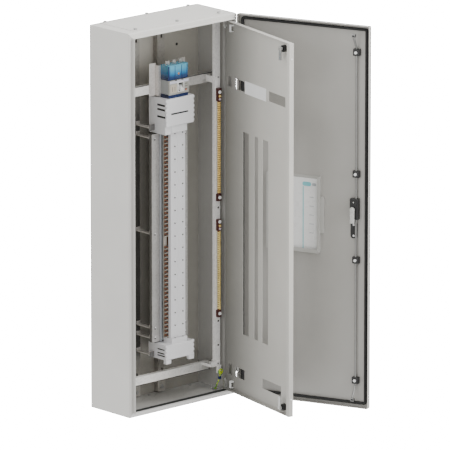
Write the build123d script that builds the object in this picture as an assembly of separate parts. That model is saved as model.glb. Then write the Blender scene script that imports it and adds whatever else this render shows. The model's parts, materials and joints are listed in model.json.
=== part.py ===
from build123d import *
import math
import os

# Wall-mounted switchboard cabinet with an outer door, a slotted inner door, a busbar chassis
# for two rows of circuit breakers, a main switch, and neutral and earth bars.
#
# Everything is drawn in a bench frame, in millimetres: X across from the cabinet's centre,
# Y from the front flange back towards the wall, Z up from the underside. The doors are drawn
# closed and then swung open. save() moves the lot to the part's own frame, whose origin is
# the centre of the four wall fixing holes, on the wall plane.

# Carcass
WIDTH = 600
DEPTH = 240
HEIGHT = 1630
SHEET = 1.5
BEND = 5
FLANGE = 22
LIP_THICK = 3
LIP_DEPTH = 14.5
LIP_CORNER = 4
WALL_FIX_X = 180
WALL_FIX_Z = 660
WALL_FIX_RADIUS = 4.5

# Cable entry plates in the roof and the floor
ENTRY_PLATE_HALF = 252
ENTRY_PLATE_Y = (22, 236)
ENTRY_PLATE_THICK = 2
ENTRY_SCREWS_X = (-230, 0, 230)
ENTRY_SCREW_HEAD = 7
ENTRY_SCREWS_Y = (36, 224)
FLOOR_PLATE_Y = (26, 228)
FLOOR_SCREWS_Y = (40, 214)
ENTRY_OPENING_HALF = 212
ENTRY_OPENING_Y = (62, 198)

# Outer door
OUTER_GAP = 3
OUTER_THICK = 27
OUTER_PIVOT = (297, -8.5)
OUTER_OPEN = 112.7
HINGE_HEIGHTS = (120, 815, 1510)
HINGE_KNUCKLE = 25
HINGE_RADIUS = 4.5
HINGE_PIN_RADIUS = 2.5
GASKET_INSET = 19
GASKET_WIDTH = 11
GASKET_THICK = 13.5

# Lock of the outer door
LOCK_X = -230
LOCK_Z = 850
ROD_X = -238
ROD_Y = -16.5
ROD_RADIUS = 4
ROD_END_GAP = 12
ROD_TIP_Y = 11.5
ROD_TIP_INSET = 41
ROD_BEND_INSET = 100
GUIDE_INSETS = (117, 632)
SPINDLE_RADIUS = 6

# Inner door
INNER_FRONT = 31
INNER_DEPTH = 22
INNER_X = (-274.5, 273.5)
INNER_Z = (24, 1604)
INNER_LIP = 20
INNER_HINGE_EDGE = 5
INNER_PIVOT = (267.5, 37)
INNER_OPEN = 78.3
INNER_PIN_RADIUS = 3
INNER_LOCK_X = -210.5
INNER_LOCK_INSET = 52
CAM_LENGTH = 48
FINGER_Z = (283, 1150)
BREAKER_SLOT = 47
BREAKER_OFFSET = 78

# Busbar chassis
CHASSIS_X = 28
CHASSIS_HALF = 99
CHASSIS_Z = (262, 1150)
RAIL_FACE_Y = 114
CHASSIS_BACK_Y = 130
CHASSIS_RAIL = 42
MODULE = 18
FINGER_FIRST = 292
FINGER_COUNT = 48
FINGER_BREAK = (22, 23)
FINGER_REACH = (57, 53)
PHASE_PITCH = 22
PHASE_WIDTH = 16
COVER_X = 31
COVER_HALF = 39.5
COVER_STEP_X = 30
COVER_FRONT_Y = 66
COVER_SCREWS_X = (14.5, 56.5)
COVER_SCREW_FIRST = 279.5
COVER_SCREW_PITCH = 54.6
NECK_X = (COVER_X - 43, COVER_X + 43)
REAR_RAIL_X = 70
REAR_RAIL_Y = 213
DEPTH_BAR_HEIGHTS = (207, 279, 322, 725, 1133, 1176)
CROSS_RAIL_Y = 131

# Main switch
SWITCH_HALF = 54
SWITCH_FRONT_Y = 60
SWITCH_BACK_Y = 109
SWITCH_Z = (1304, 1442)
SWITCH_MIDDLE_Z = (1321, 1379)
TOGGLE_X = 36
TOGGLE_Y = 68
TOGGLE_Z = 1346
TOGGLE_REST = 20
BUTTON_X = 64
BUTTON_Z = 1333

# Accessory rail with the neutral and earth bars
RAIL_X = (246, 274)
RAIL_Y = 75
RAIL_Z = (110, 1600)
BAR_X = 260
NEUTRAL_Z = (853, 1250)
EARTH_Z = (354, 696)
BAR_SCREW_PITCH = 9.5

TO_PART_FRAME = Pos(0, -DEPTH, -HEIGHT / 2)


# ------------------------------------------------------------------ helpers
def block(x, y, z):
    """A box between two values on each axis."""
    centre = Pos((x[0] + x[1]) / 2, (y[0] + y[1]) / 2, (z[0] + z[1]) / 2)
    return centre * Box(abs(x[1] - x[0]), abs(y[1] - y[0]), abs(z[1] - z[0]))


def bar_x(radius, x, y, z):
    """A round bar along X, between the two values of x."""
    return Pos((x[0] + x[1]) / 2, y, z) * Rot(0, 90, 0) * Cylinder(radius, abs(x[1] - x[0]))


def bar_y(radius, x, y, z):
    """A round bar along Y, between the two values of y."""
    return Pos(x, (y[0] + y[1]) / 2, z) * Rot(90, 0, 0) * Cylinder(radius, abs(y[1] - y[0]))


def bar_z(radius, x, y, z):
    """A round bar along Z, between the two values of z."""
    return Pos(x, y, (z[0] + z[1]) / 2) * Cylinder(radius, abs(z[1] - z[0]))


def joined(shapes):
    """One solid made of touching or overlapping shapes."""
    first, *rest = shapes
    return first.fuse(*rest).clean() if rest else first


def cut(shape, tools):
    """The shape with every tool taken away."""
    return shape.cut(*tools)


def prism_y(corners, y):
    """A prism along Y on an outline of (x, z) corners."""
    outline = Polyline([(cx, y[0], cz) for cx, cz in corners], close=True)
    return extrude(make_face(outline), amount=y[1] - y[0], dir=(0, 1, 0))


def rounded(shape, radius):
    """The box with the edges along Y rounded."""
    return fillet(shape.edges().filter_by(Axis.Y), radius)


def sheet_case(x, y, z, radius):
    """A box with its front edges and its edges along Y rounded, like folded sheet."""
    case = block(x, y, z)
    front = case.faces().sort_by(Axis.Y)[0].edges()
    return fillet(case.edges().filter_by(Axis.Y) + front, radius)


def swing(pivot, angle):
    """The move that turns a door about its upright pivot."""
    return Pos(pivot[0], pivot[1], 0) * Rot(0, 0, angle) * Pos(-pivot[0], -pivot[1], 0)


OUTER = swing(OUTER_PIVOT, OUTER_OPEN)
INNER = swing(INNER_PIVOT, INNER_OPEN)


def save(name, shapes, place=Location()):
    """Writes one node, as separate solids, in the part's own frame."""
    solids = []
    for shape in shapes if isinstance(shapes, list) else [shapes]:
        solids += (TO_PART_FRAME * place * shape).solids()
    node = solids[0] if len(solids) == 1 else Compound(children=solids)
    node.label = name
    export_step(node, f"parts/{name}.step")


# ------------------------------------------------------------------ carcass
def carcass():
    half = WIDTH / 2
    outside = sheet_case((-half, half), (0, DEPTH), (0, HEIGHT), BEND)
    inset = half - SHEET
    inside = sheet_case((-inset, inset), (SHEET, DEPTH + 1), (SHEET, HEIGHT - SHEET), BEND - SHEET)
    edge = half - FLANGE
    opening_z = (FLANGE, HEIGHT - FLANGE)
    opening = rounded(block((-edge, edge), (-LIP_DEPTH - 1, SHEET + 1), opening_z), LIP_CORNER)
    lip_edge = edge + LIP_THICK
    lip_z = (FLANGE - LIP_THICK, HEIGHT - FLANGE + LIP_THICK)
    lip = rounded(block((-lip_edge, lip_edge), (-LIP_DEPTH, SHEET), lip_z), LIP_CORNER + LIP_THICK)
    shell = cut(joined([cut(outside, [inside]), lip]), [opening])

    reach = 60
    along = (-LIP_DEPTH - 1, DEPTH + 1)
    left = [(-half, 0), (-half, HEIGHT), (-half + reach, HEIGHT - reach), (-half + reach, reach)]
    right = [(-x, z) for x, z in left]
    roof = [left[1], right[1], right[2], left[2]]
    floor = [left[0], right[0], right[3], left[3]]
    entry_x = (-ENTRY_OPENING_HALF, ENTRY_OPENING_HALF)
    entry = block(entry_x, ENTRY_OPENING_Y, (-1, HEIGHT + 1))
    roof_holes = entry_screw_shafts(ENTRY_SCREWS_Y, (HEIGHT - 3, HEIGHT + 1))
    floor_holes = entry_screw_shafts(FLOOR_SCREWS_Y, (-1, 3))
    save("side_wall_left", shell & prism_y(left, along))
    save("side_wall_right", shell & prism_y(right, along))
    save("roof", cut(shell & prism_y(roof, along), [entry] + roof_holes))
    save("floor", cut(shell & prism_y(floor, along), [entry] + floor_holes))

    back = block((-inset, inset), (DEPTH - SHEET, DEPTH), (SHEET, HEIGHT - SHEET))
    back = rounded(back, BEND - SHEET)
    fixings = [
        bar_y(WALL_FIX_RADIUS, x, (DEPTH - 3, DEPTH + 1), HEIGHT / 2 + z)
        for x in (-WALL_FIX_X, WALL_FIX_X)
        for z in (-WALL_FIX_Z, WALL_FIX_Z)
    ]
    save("rear_panel", cut(back, fixings))


def entry_screw_shafts(rows, z):
    return [bar_z(3, x, y, z) for x in ENTRY_SCREWS_X for y in rows]


def entry_screws(rows, under, top, head):
    """Screws with slotted round heads, through a plate whose upper face is at top."""
    slot_width = 1.2
    screws = []
    for x in ENTRY_SCREWS_X:
        for y in rows:
            shank = bar_z(3, x, y, (under, top))
            screw = joined([shank, bar_z(ENTRY_SCREW_HEAD, x, y, (top, top + head))])
            slot = block((x - 9, x + 9), (y - slot_width / 2, y + slot_width / 2),
                         (top + head - 1.2, top + head + 1))
            screws.append(cut(screw, [slot]))
    return screws


def entry_plates():
    plate_x = (-ENTRY_PLATE_HALF, ENTRY_PLATE_HALF)
    roof_top = HEIGHT + ENTRY_PLATE_THICK
    roof_plate = block(plate_x, ENTRY_PLATE_Y, (HEIGHT, roof_top))
    roof_plate = fillet(roof_plate.edges().filter_by(Axis.Z), 6)
    roof_holes = entry_screw_shafts(ENTRY_SCREWS_Y, (HEIGHT - 1, roof_top + 1))
    floor_top = SHEET + ENTRY_PLATE_THICK
    floor_plate = block(plate_x, FLOOR_PLATE_Y, (SHEET, floor_top))
    floor_plate = fillet(floor_plate.edges().filter_by(Axis.Z), 6)
    floor_holes = entry_screw_shafts(FLOOR_SCREWS_Y, (0, floor_top + 1))
    save("entry_plates", [cut(roof_plate, roof_holes), cut(floor_plate, floor_holes)])
    roof_screws = entry_screws(ENTRY_SCREWS_Y, HEIGHT - SHEET, roof_top, 6)
    save("entry_plate_screws", roof_screws + entry_screws(FLOOR_SCREWS_Y, 0.5, floor_top, 3))


# ------------------------------------------------------------------ inside frame
def rear_rails():
    """Two upright hat rails on the back wall, open towards the wall."""
    wall = 2
    face_half = 20
    z = (8, HEIGHT - 18)
    rails = []
    for centre in (-REAR_RAIL_X, REAR_RAIL_X):
        outer = block((centre - face_half, centre + face_half), (REAR_RAIL_Y, DEPTH - SHEET), z)
        hollow = block((centre - face_half + wall, centre + face_half - wall),
                       (REAR_RAIL_Y + wall, DEPTH), (0, HEIGHT))
        slot_x = (centre - 2.5, centre + 6.5)
        slots = [
            block(slot_x, (REAR_RAIL_Y - 1, REAR_RAIL_Y + 4), (height - 8.5, height + 8.5))
            for height in (100, HEIGHT - 100)
        ]
        rails.append(cut(outer, [hollow] + slots))
    save("rear_rails", rails)


def rear_rail_bolts():
    bolts = []
    for centre in (-REAR_RAIL_X, REAR_RAIL_X):
        for height in (28, HEIGHT - 40):
            washer = bar_y(9, centre, (REAR_RAIL_Y - 1.5, REAR_RAIL_Y), height)
            head = hexagon_y(6.5, centre, (REAR_RAIL_Y - 6.5, REAR_RAIL_Y - 1.5), height)
            bolts.append(joined([washer, head]))
    return bolts


def hexagon_y(radius, x, y, z):
    """A hexagonal head along Y; radius reaches its corners."""
    corners = [
        (x + radius * math.cos(math.radians(60 * k)), z + radius * math.sin(math.radians(60 * k)))
        for k in range(6)
    ]
    return prism_y(corners, y)


def channel_rail(x, z, depth=20):
    """A rail along X with its open side towards the wall."""
    wall = 2
    outer = block(x, (CROSS_RAIL_Y, CROSS_RAIL_Y + depth), z)
    hollow = block(x, (CROSS_RAIL_Y + wall, CROSS_RAIL_Y + depth + 1), (z[0] + wall, z[1] - wall))
    return cut(outer, [hollow])


def cross_rails():
    inset = WIDTH / 2 - SHEET
    upper = channel_rail((-inset, inset), (1320, 1358))
    lower_x = (-inset, 262)
    ledge = block(lower_x, (CROSS_RAIL_Y - 6, CROSS_RAIL_Y), (88, 90))
    lower = joined([channel_rail(lower_x, (90, 121)), ledge,
                    block(lower_x, (CROSS_RAIL_Y, CROSS_RAIL_Y + 2), (88, 90))])
    save("cross_rails", [upper, lower])


def cross_rail_screws():
    heads = (CROSS_RAIL_Y - 3, CROSS_RAIL_Y)
    upper = [(237, 1330), (288, 1338), (-237, 1330), (-288, 1338)]
    lower = [(-288, 106), (-237, 106), (253, 106)]
    return [bar_y(4.5, x, heads, z) for x, z in upper + lower]


def depth_bars():
    """Flat bars from the rear rails forward to the chassis, on both sides."""
    bars = []
    for height in DEPTH_BAR_HEIGHTS:
        z = (height - 2, height + 2)
        for x in ((CHASSIS_X - CHASSIS_HALF, -50), (56, 84)):
            bar = block(x, (CHASSIS_BACK_Y, REAR_RAIL_Y), z)
            foot_z = (height - 2, height + 14)
            front = block(x, (CHASSIS_BACK_Y, CHASSIS_BACK_Y + 2), foot_z)
            rear = block(x, (REAR_RAIL_Y - 2, REAR_RAIL_Y), foot_z)
            bars.append(joined([bar, front, rear]))
    save("depth_bars", bars)


# ------------------------------------------------------------------ busbar chassis
def chassis_pan():
    left, right = CHASSIS_X - CHASSIS_HALF, CHASSIS_X + CHASSIS_HALF
    inner_left, inner_right = left + CHASSIS_RAIL, right - CHASSIS_RAIL
    wall = 2
    z = CHASSIS_Z
    back_y = (CHASSIS_BACK_Y - wall, CHASSIS_BACK_Y)
    face_y = (RAIL_FACE_Y, RAIL_FACE_Y + wall)
    side_y = (RAIL_FACE_Y, CHASSIS_BACK_Y)
    pieces = [block((inner_left - wall, inner_right + wall), back_y, (196, 1300))]
    for outer_x, inner_x, inward in ((left, inner_left, 1), (right, inner_right, -1)):
        pieces.append(block((outer_x, inner_x), face_y, z))
        pieces.append(block((outer_x, outer_x + inward * wall), side_y, z))
        pieces.append(block((inner_x - inward * wall, inner_x), side_y, z))
        pieces.append(block((outer_x, outer_x + inward * CHASSIS_RAIL / 2), back_y, z))
    for ear in ear_heights():
        pieces.append(block((left, right), back_y, ear))
    pan = joined(pieces)
    hole_y = (RAIL_FACE_Y - 1, RAIL_FACE_Y + 3)
    holes = [bar_y(2.5, x, hole_y, h) for x, h in chassis_screw_places()]
    save("chassis_pan", cut(pan, holes))


def chassis_screws():
    screws = []
    for x, h in chassis_screw_places():
        screws.append(joined([bar_y(4, x, (RAIL_FACE_Y - 2.2, RAIL_FACE_Y), h),
                              bar_y(2.5, x, (RAIL_FACE_Y, RAIL_FACE_Y + 6), h)]))
    return screws


def frame_screws():
    """The screws and bolts of the rails and the chassis, as one group."""
    accessory = [bar_y(4, 263, (RAIL_Y - 2.5, RAIL_Y), 1349),
                 bar_y(4, 260, (RAIL_Y - 4.5, RAIL_Y - 2), 121)]
    save("frame_screws", rear_rail_bolts() + cross_rail_screws() + chassis_screws() + accessory)


def ear_heights():
    """The two cross ears of the pan's back plate, above and below its breaker rails."""
    return ((1163, 1190), (196, 220))


def chassis_screw_places():
    columns = (CHASSIS_X - CHASSIS_HALF + 15, CHASSIS_X + CHASSIS_HALF - 15)
    return [(x, h) for x in columns for h in (281, 322, 725, 1130)]


def finger_heights():
    return [FINGER_FIRST + MODULE * k for k in range(FINGER_COUNT) if k not in FINGER_BREAK]


def busbars():
    """Three phase bars. Every third contact finger belongs to the same bar, on both sides."""
    bar_y_range = (96, 101)
    finger_y = (83, 85)
    finger_x = (CHASSIS_X - FINGER_REACH[0], CHASSIS_X + FINGER_REACH[1])
    for phase in range(3):
        centre = CHASSIS_X + (phase - 1) * PHASE_PITCH
        half = PHASE_WIDTH / 2
        pieces = [block((centre - half, centre + half), bar_y_range, (225, SWITCH_MIDDLE_Z[0]))]
        for index, height in enumerate(finger_heights()):
            if index % 3 == phase:
                z = (height - 5, height + 5)
                pieces.append(block(finger_x, finger_y, z))
                pieces.append(block((centre - 3, centre + 3), (finger_y[1], bar_y_range[0]), z))
        save(f"phase_bar_{phase + 1}", joined(pieces))


def busbar_base():
    """Moulded tray that carries the phase bars and the cover's two posts."""
    half = CHASSIS_HALF - CHASSIS_RAIL - 0.5
    tray = block((CHASSIS_X - half, CHASSIS_X + half), (118, CHASSIS_BACK_Y - 2), CHASSIS_Z)
    pieces = [tray]
    span = (CHASSIS_X - 30, CHASSIS_X + 30)
    for height in (280, 496, 697, 910, 1132):
        pieces.append(block(span, (101, 118), (height - 10, height + 10)))
    for side in (-1, 1):
        post = CHASSIS_X + side * PHASE_PITCH / 2
        front = COVER_FRONT_Y + 3 if side < 0 else COVER_FRONT_Y + 2
        pieces.append(block((post - 2.5, post + 2.5), (front, 118), (686, 708)))
    for side in (-1, 1):
        rib = CHASSIS_X + side * 53
        pieces.append(block((rib - 1, rib + 1), (108, 118), CHASSIS_Z))
    save("busbar_base", joined(pieces))


def busbar_cover():
    """Two-step front cover over the phase bars, with a column of screws on each step."""
    z = (255, 1172)
    left, right = COVER_X - COVER_HALF, COVER_X + COVER_HALF
    step = COVER_STEP_X
    wall = 2
    cover = joined([
        block((left, step + wall), (COVER_FRONT_Y + 1, COVER_FRONT_Y + 1 + wall), z),
        block((step, right), (COVER_FRONT_Y, COVER_FRONT_Y + wall), z),
        block((left, left + wall), (COVER_FRONT_Y + 1, 82.5), z),
        block((right - wall, right), (COVER_FRONT_Y, 82.5), z),
    ])
    save("busbar_cover", cover)
    screws = []
    for x, face in zip(COVER_SCREWS_X, (COVER_FRONT_Y + 1, COVER_FRONT_Y)):
        for k in range(17):
            height = COVER_SCREW_FIRST + COVER_SCREW_PITCH * k
            screws.append(bar_y(2.4, x, (face - 1, face), height))
    save("cover_screws", screws)


def shroud(left, right, neck, body, feet):
    """Moulded end cover, drawn with its neck at z = 0 and its body above it."""
    wall = 2.5
    front, back = 52, 163
    top = neck + body
    neck_in = (NECK_X[0] + wall, NECK_X[1] - wall)
    solid = joined([
        rounded_front(block((left, right), (front, back), (neck, top)), 5),
        block(NECK_X, (front + 6, 110), (0, neck + 5)),
    ])
    hollows = [
        block((left + wall, right - wall), (front + wall, back + 1), (neck + wall, top - wall)),
        block(neck_in, (front + 6 + wall, 111), (-1, neck + wall + 1)),
        block((CHASSIS_X - 34, CHASSIS_X + 34), (92, 105), (top - wall - 1, top + 1)),
    ]
    teeth = max(round(body / 20), 3)
    for k in range(teeth):
        step = neck + 10 + k * (body - 12) / teeth
        for x in ((left - 1, left + 2.2), (right - 2.2, right + 1)):
            hollows.append(block(x, (front - 1, front + 9), (step, step + 7)))
    slot_length = (62, 110)
    for share in (0.34, 0.6, 0.76):
        level = neck + body * share
        for x in ((left - 1, left + wall + 1), (right - wall - 1, right + 1)):
            hollows.append(block(x, slot_length, (level - 3, level + 3)))
    piece = cut(solid, hollows)
    if feet:
        foot_z = (top - 1, top + 16)
        pads = [block((left, left + 26), (front, front + 16), foot_z),
                block((right - 26, right), (front, front + 16), foot_z)]
        piece = joined([piece] + pads)
    return piece


def rounded_front(box, radius):
    """The box with the four edges round its front face rounded."""
    return fillet(box.faces().sort_by(Axis.Y)[0].edges(), radius)


def shrouds():
    ears = [
        block((CHASSIS_X - CHASSIS_HALF - 1, CHASSIS_X + CHASSIS_HALF + 1),
              (CHASSIS_BACK_Y - 2.5, CHASSIS_BACK_Y + 0.5), (low - 0.5, high + 0.5))
        for low, high in ear_heights()
    ]
    plate_half = CHASSIS_HALF - CHASSIS_RAIL + 2.5
    back_plate = block((CHASSIS_X - plate_half, CHASSIS_X + plate_half),
                       (CHASSIS_BACK_Y - 2.5, CHASSIS_BACK_Y + 0.5), (190, 1301))
    bar_notch = block((55.5, 84.5), (CHASSIS_BACK_Y - 0.5, 165), (1173.5, 1190.5))
    notches = ears + [back_plate, bar_notch]
    upper_left, upper_right = CHASSIS_X - 71, CHASSIS_X + 80
    upper = Pos(0, 0, 1157) * shroud(upper_left, upper_right, 29, 118, False)
    wing_y = ((62, 163), (100, 163))
    wings = []
    for x, y in zip(((upper_left, NECK_X[0]), (NECK_X[1], upper_right)), wing_y):
        outer = block(x, y, (1152, 1187))
        inner = block((x[0] + 2.5, x[1] - 2.5), (y[0] + 2.5, 164), (1151, 1184.5))
        wings.append(cut(outer, [inner]))
    save("upper_shroud", cut(joined([upper] + wings), notches))
    lower = shroud(CHASSIS_X - 76, CHASSIS_X + 78, 22, 64, True)
    lower = Pos(0, 0, 278) * mirror(lower, about=Plane.XY)
    save("lower_shroud", cut(lower, notches))


# ------------------------------------------------------------------ main switch
def main_switch():
    left, right = CHASSIS_X - SWITCH_HALF, CHASSIS_X + SWITCH_HALF
    low, high = SWITCH_Z
    mid_low, mid_high = SWITCH_MIDDLE_Z
    wall = 2.5
    x = (left, right)
    inside_x = (left + wall, right - wall)
    y = (SWITCH_FRONT_Y, SWITCH_BACK_Y)
    inside_y = (SWITCH_FRONT_Y + wall, SWITCH_BACK_Y + 1)
    base_x = (inside_x[0] + 0.5, inside_x[1] - 0.5)

    body = joined([block(x, (62, SWITCH_BACK_Y), SWITCH_MIDDLE_Z),
                   block(base_x, (90, 108), (mid_high, high - wall - 0.5))])
    pocket = block((TOGGLE_X - 14, TOGGLE_X + 14), (61, 80), (TOGGLE_Z - 20, TOGGLE_Z + 20))
    pin_hole = bar_x(2, (TOGGLE_X - 18, TOGGLE_X + 18), TOGGLE_Y, TOGGLE_Z)
    toggle_pin = bar_x(2, (TOGGLE_X - 18, TOGGLE_X + 18), TOGGLE_Y, TOGGLE_Z)
    save("switch_body", [cut(body, [pocket, pin_hole]), toggle_pin])

    cover = rounded_front(block(x, (54, 62), (mid_low - 2, mid_high)), 2)
    window = block((TOGGLE_X - 14, TOGGLE_X + 14), (53, 63), (TOGGLE_Z - 20, TOGGLE_Z + 20))
    button_hole = bar_y(3.5, BUTTON_X, (53, 63), BUTTON_Z)
    save("switch_front_cover", cut(cover, [window, button_hole]))

    lug_x = [CHASSIS_X + k * 36 for k in (-1, 0, 1)]
    lug_slots = [block((c - 9.5, c + 9.5), (83.5, 90), (high - 5, high + 1)) for c in lug_x]
    upper = cut(rounded_front(block(x, y, (mid_high, high)), 3),
                [block(inside_x, inside_y, (mid_high - 1, high - wall))] + lug_slots)
    grooves = [block((c - 0.6, c + 0.6), (59, 60.8), (mid_high - 1, high + 1))
               for c in (CHASSIS_X - 18, CHASSIS_X + 18)]
    lower = cut(block(x, y, (low, mid_low - 2)),
                [block(inside_x, inside_y, (low + wall, mid_low)),
                 block((CHASSIS_X - 34, CHASSIS_X + 34), (92, 105), (low - 1, low + wall + 1))])
    save("terminal_covers", [cut(upper, grooves), lower])

    lugs = []
    for c in lug_x:
        tab = block((c - 9, c + 9), (84, 90), (high - 20, high + 16))
        lugs.append(joined([tab, hexagon_y(6, c, (79, 84), high + 8)]))
    save("line_terminals", lugs)

    hub = bar_x(8, (TOGGLE_X - 13, TOGGLE_X + 13), TOGGLE_Y, TOGGLE_Z)
    lever = block((TOGGLE_X - 8, TOGGLE_X + 8), (41, 64), (TOGGLE_Z - 5, TOGGLE_Z + 5))
    lever = fillet(lever.faces().sort_by(Axis.Y)[0].edges(), 2)
    bore = bar_x(2.05, (TOGGLE_X - 20, TOGGLE_X + 20), TOGGLE_Y, TOGGLE_Z)
    tilt = Pos(0, TOGGLE_Y, TOGGLE_Z) * Rot(TOGGLE_REST, 0, 0) * Pos(0, -TOGGLE_Y, -TOGGLE_Z)
    save("toggle", tilt * cut(joined([hub, lever]), [bore]))
    save("trip_button", bar_y(3.45, BUTTON_X, (51.5, 59.5), BUTTON_Z))

    riser_left, riser_right = CHASSIS_X - 66, CHASSIS_X + 66
    plate_z = (1310, 1447)
    centre_z = (1310, 1438)
    back_y = (CROSS_RAIL_Y - 2, CROSS_RAIL_Y)
    plate = joined([
        block((CHASSIS_X - CHASSIS_HALF, riser_left + 2), back_y, plate_z),
        block((riser_right - 2, CHASSIS_X + CHASSIS_HALF), back_y, plate_z),
        block((riser_left, riser_left + 2), (SWITCH_BACK_Y, CROSS_RAIL_Y), centre_z),
        block((riser_right - 2, riser_right), (SWITCH_BACK_Y, CROSS_RAIL_Y), centre_z),
        block((riser_left, riser_right), (SWITCH_BACK_Y, SWITCH_BACK_Y + 2), centre_z),
    ])
    save("switch_plate", plate)


# ------------------------------------------------------------------ neutral and earth bars
def accessory_rail():
    wall = 1.5
    outer = block(RAIL_X, (RAIL_Y, RAIL_Y + 16), RAIL_Z)
    hollow = block((RAIL_X[0] + wall, RAIL_X[1] - wall), (RAIL_Y + wall, RAIL_Y + 17),
                   (RAIL_Z[0] - 1, RAIL_Z[1] + 1))
    holes = [bar_y(3, 264, (RAIL_Y - 1, RAIL_Y + 3), h) for h in (200, 304, 792)]
    save("accessory_rail", cut(outer, [hollow] + holes))
    inside = RAIL_X[0] + wall
    upper = joined([block((inside, inside + 2), (RAIL_Y + wall, CROSS_RAIL_Y), (1325, 1352)),
                    block((inside, inside + 22), (CROSS_RAIL_Y - 2, CROSS_RAIL_Y), (1325, 1352))])
    lower = joined([block((223, 272), (RAIL_Y - 2, RAIL_Y), (110, 131)),
                    block((223, 225), (RAIL_Y - 2, CROSS_RAIL_Y), (110, 121)),
                    block((254, 278), (RAIL_Y - 2, RAIL_Y), (80, 112))])
    inset = WIDTH / 2 - SHEET
    end_z = (95, 116)
    end_plate = joined([block((246, inset), (CROSS_RAIL_Y + 2, CROSS_RAIL_Y + 4), end_z),
                        block((inset - 2, inset), (CROSS_RAIL_Y + 4, CROSS_RAIL_Y + 24), end_z)])
    save("rail_brackets", [upper, lower, end_plate])


def terminal_bars():
    """The neutral bar above and the earth bar below, each between two moulded holders."""
    front = 61
    bar_half = 6
    screws, holders, bolts = [], [], []
    for name, z, top in (("neutral", NEUTRAL_Z, 54), ("earth", EARTH_Z, 48)):
        save(f"{name}_bar", block((BAR_X - bar_half, BAR_X + bar_half), (front, front + 10), z))
        count = int((z[1] - z[0]) / BAR_SCREW_PITCH)
        start = (z[0] + z[1] - (count - 1) * BAR_SCREW_PITCH) / 2
        heights = [start + k * BAR_SCREW_PITCH for k in range(count)]
        screws += [bar_y(3, BAR_X, (front - 2, front), height) for height in heights]
        for span in ((z[1], z[1] + top), (z[0] - 30, z[0])):
            holders.append(block((BAR_X - 9, BAR_X + 9), (front, RAIL_Y), span))
        for height, radius in ((z[1] + 38, 6), (z[1] + 21, 4.5), (z[1] + 8, 4), (z[0] - 15, 6)):
            bolts.append(hexagon_y(radius, BAR_X, (front - 4, front), height))
    save("terminal_bar_screws", screws)
    save("terminal_bar_holders", holders)
    save("terminal_bar_bolts", bolts)


def lead(points, radius):
    """A round lead along straight runs joined by tangent arcs, as large as the runs allow."""
    radii = []
    route = [Vector(*p) for p in points]
    for before, at, after in zip(route, route[1:], route[2:]):
        turn = math.radians((at - before).get_angle(after - at))
        shorter = min((at - before).length, (after - at).length)
        radii.append(0.45 * shorter / math.tan(turn / 2))
    path = FilletPolyline(*route, radius=radii)
    return sweep(Plane(origin=path @ 0, z_dir=path % 0) * Circle(radius), path)


def earth_connection():
    stud = joined([bar_y(3, 266, (58, RAIL_Y - 2), 92), hexagon_y(6.5, 266, (60, 65), 92)])
    lug = cut(joined([bar_y(8, 266, (65, 68), 92), block((262, 270), (65, 68), (74, 92))]),
              [bar_y(3, 266, (64, 69), 92)])
    nut = cut(hexagon_y(6.5, 266, (68, RAIL_Y - 2), 92), [bar_y(3, 266, (67, RAIL_Y), 92)])
    floor_top = SHEET
    floor_stud = joined([bar_z(3, 262, 116, (floor_top, 20)), bar_z(7, 262, 116, (floor_top, 6))])
    palm = cut(bar_z(8, 262, 116, (6, 8.5)), [bar_z(3, 262, 116, (5, 9))])
    barrel = cut(block((258, 266), (99, 113), (6, 11.5)), [bar_z(7.9, 262, 116, (8.5, 13))])
    floor_lug = joined([palm, barrel])
    save("earth_fittings", [stud, floor_stud, lug, nut, floor_lug])
    loop = [(266, 66.5, 74), (266, 66.5, 60), (257, 68, 45), (250, 71, 29), (252, 77, 14),
            (262, 86, 9), (262, 99, 9)]
    save("earth_lead", lead(loop, 2.5))


# ------------------------------------------------------------------ outer door
def outer_door():
    half = WIDTH / 2
    z = (1, HEIGHT - 1)
    rim = -OUTER_GAP
    front = rim - OUTER_THICK
    skin = front + SHEET
    case = sheet_case((-half, half), (front, rim), z, BEND)
    hollow_z = (z[0] + SHEET, z[1] - SHEET)
    hollow = sheet_case((-half + SHEET, half - SHEET), (skin, rim + 10), hollow_z, BEND - SHEET)
    notches = [
        block((half - 3, half + 1), (-16, rim + 1), (h - HINGE_KNUCKLE - 3, h + HINGE_KNUCKLE + 3))
        for h in HINGE_HEIGHTS
    ]
    spindle_hole = bar_y(SPINDLE_RADIUS + 1, LOCK_X, (front - 1, skin + 1), LOCK_Z)
    save("outer_door_panel", cut(case, [hollow, spindle_hole] + notches), OUTER)

    far = half - GASKET_INSET + GASKET_WIDTH / 2
    near = far - GASKET_WIDTH
    inset = half - far
    gasket_y = (skin, skin + GASKET_THICK)
    ring = rounded(block((-far, far), gasket_y, (z[0] + inset, z[1] - inset)), 12)
    hole_z = (z[0] + inset + GASKET_WIDTH, z[1] - inset - GASKET_WIDTH)
    hole = rounded(block((-near, near), (skin - 1, 0), hole_z), 4)
    save("outer_door_gasket", cut(ring, [hole]), OUTER)
    outer_hinges(skin)
    outer_lock(front, skin)
    document_pocket(skin)


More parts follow.
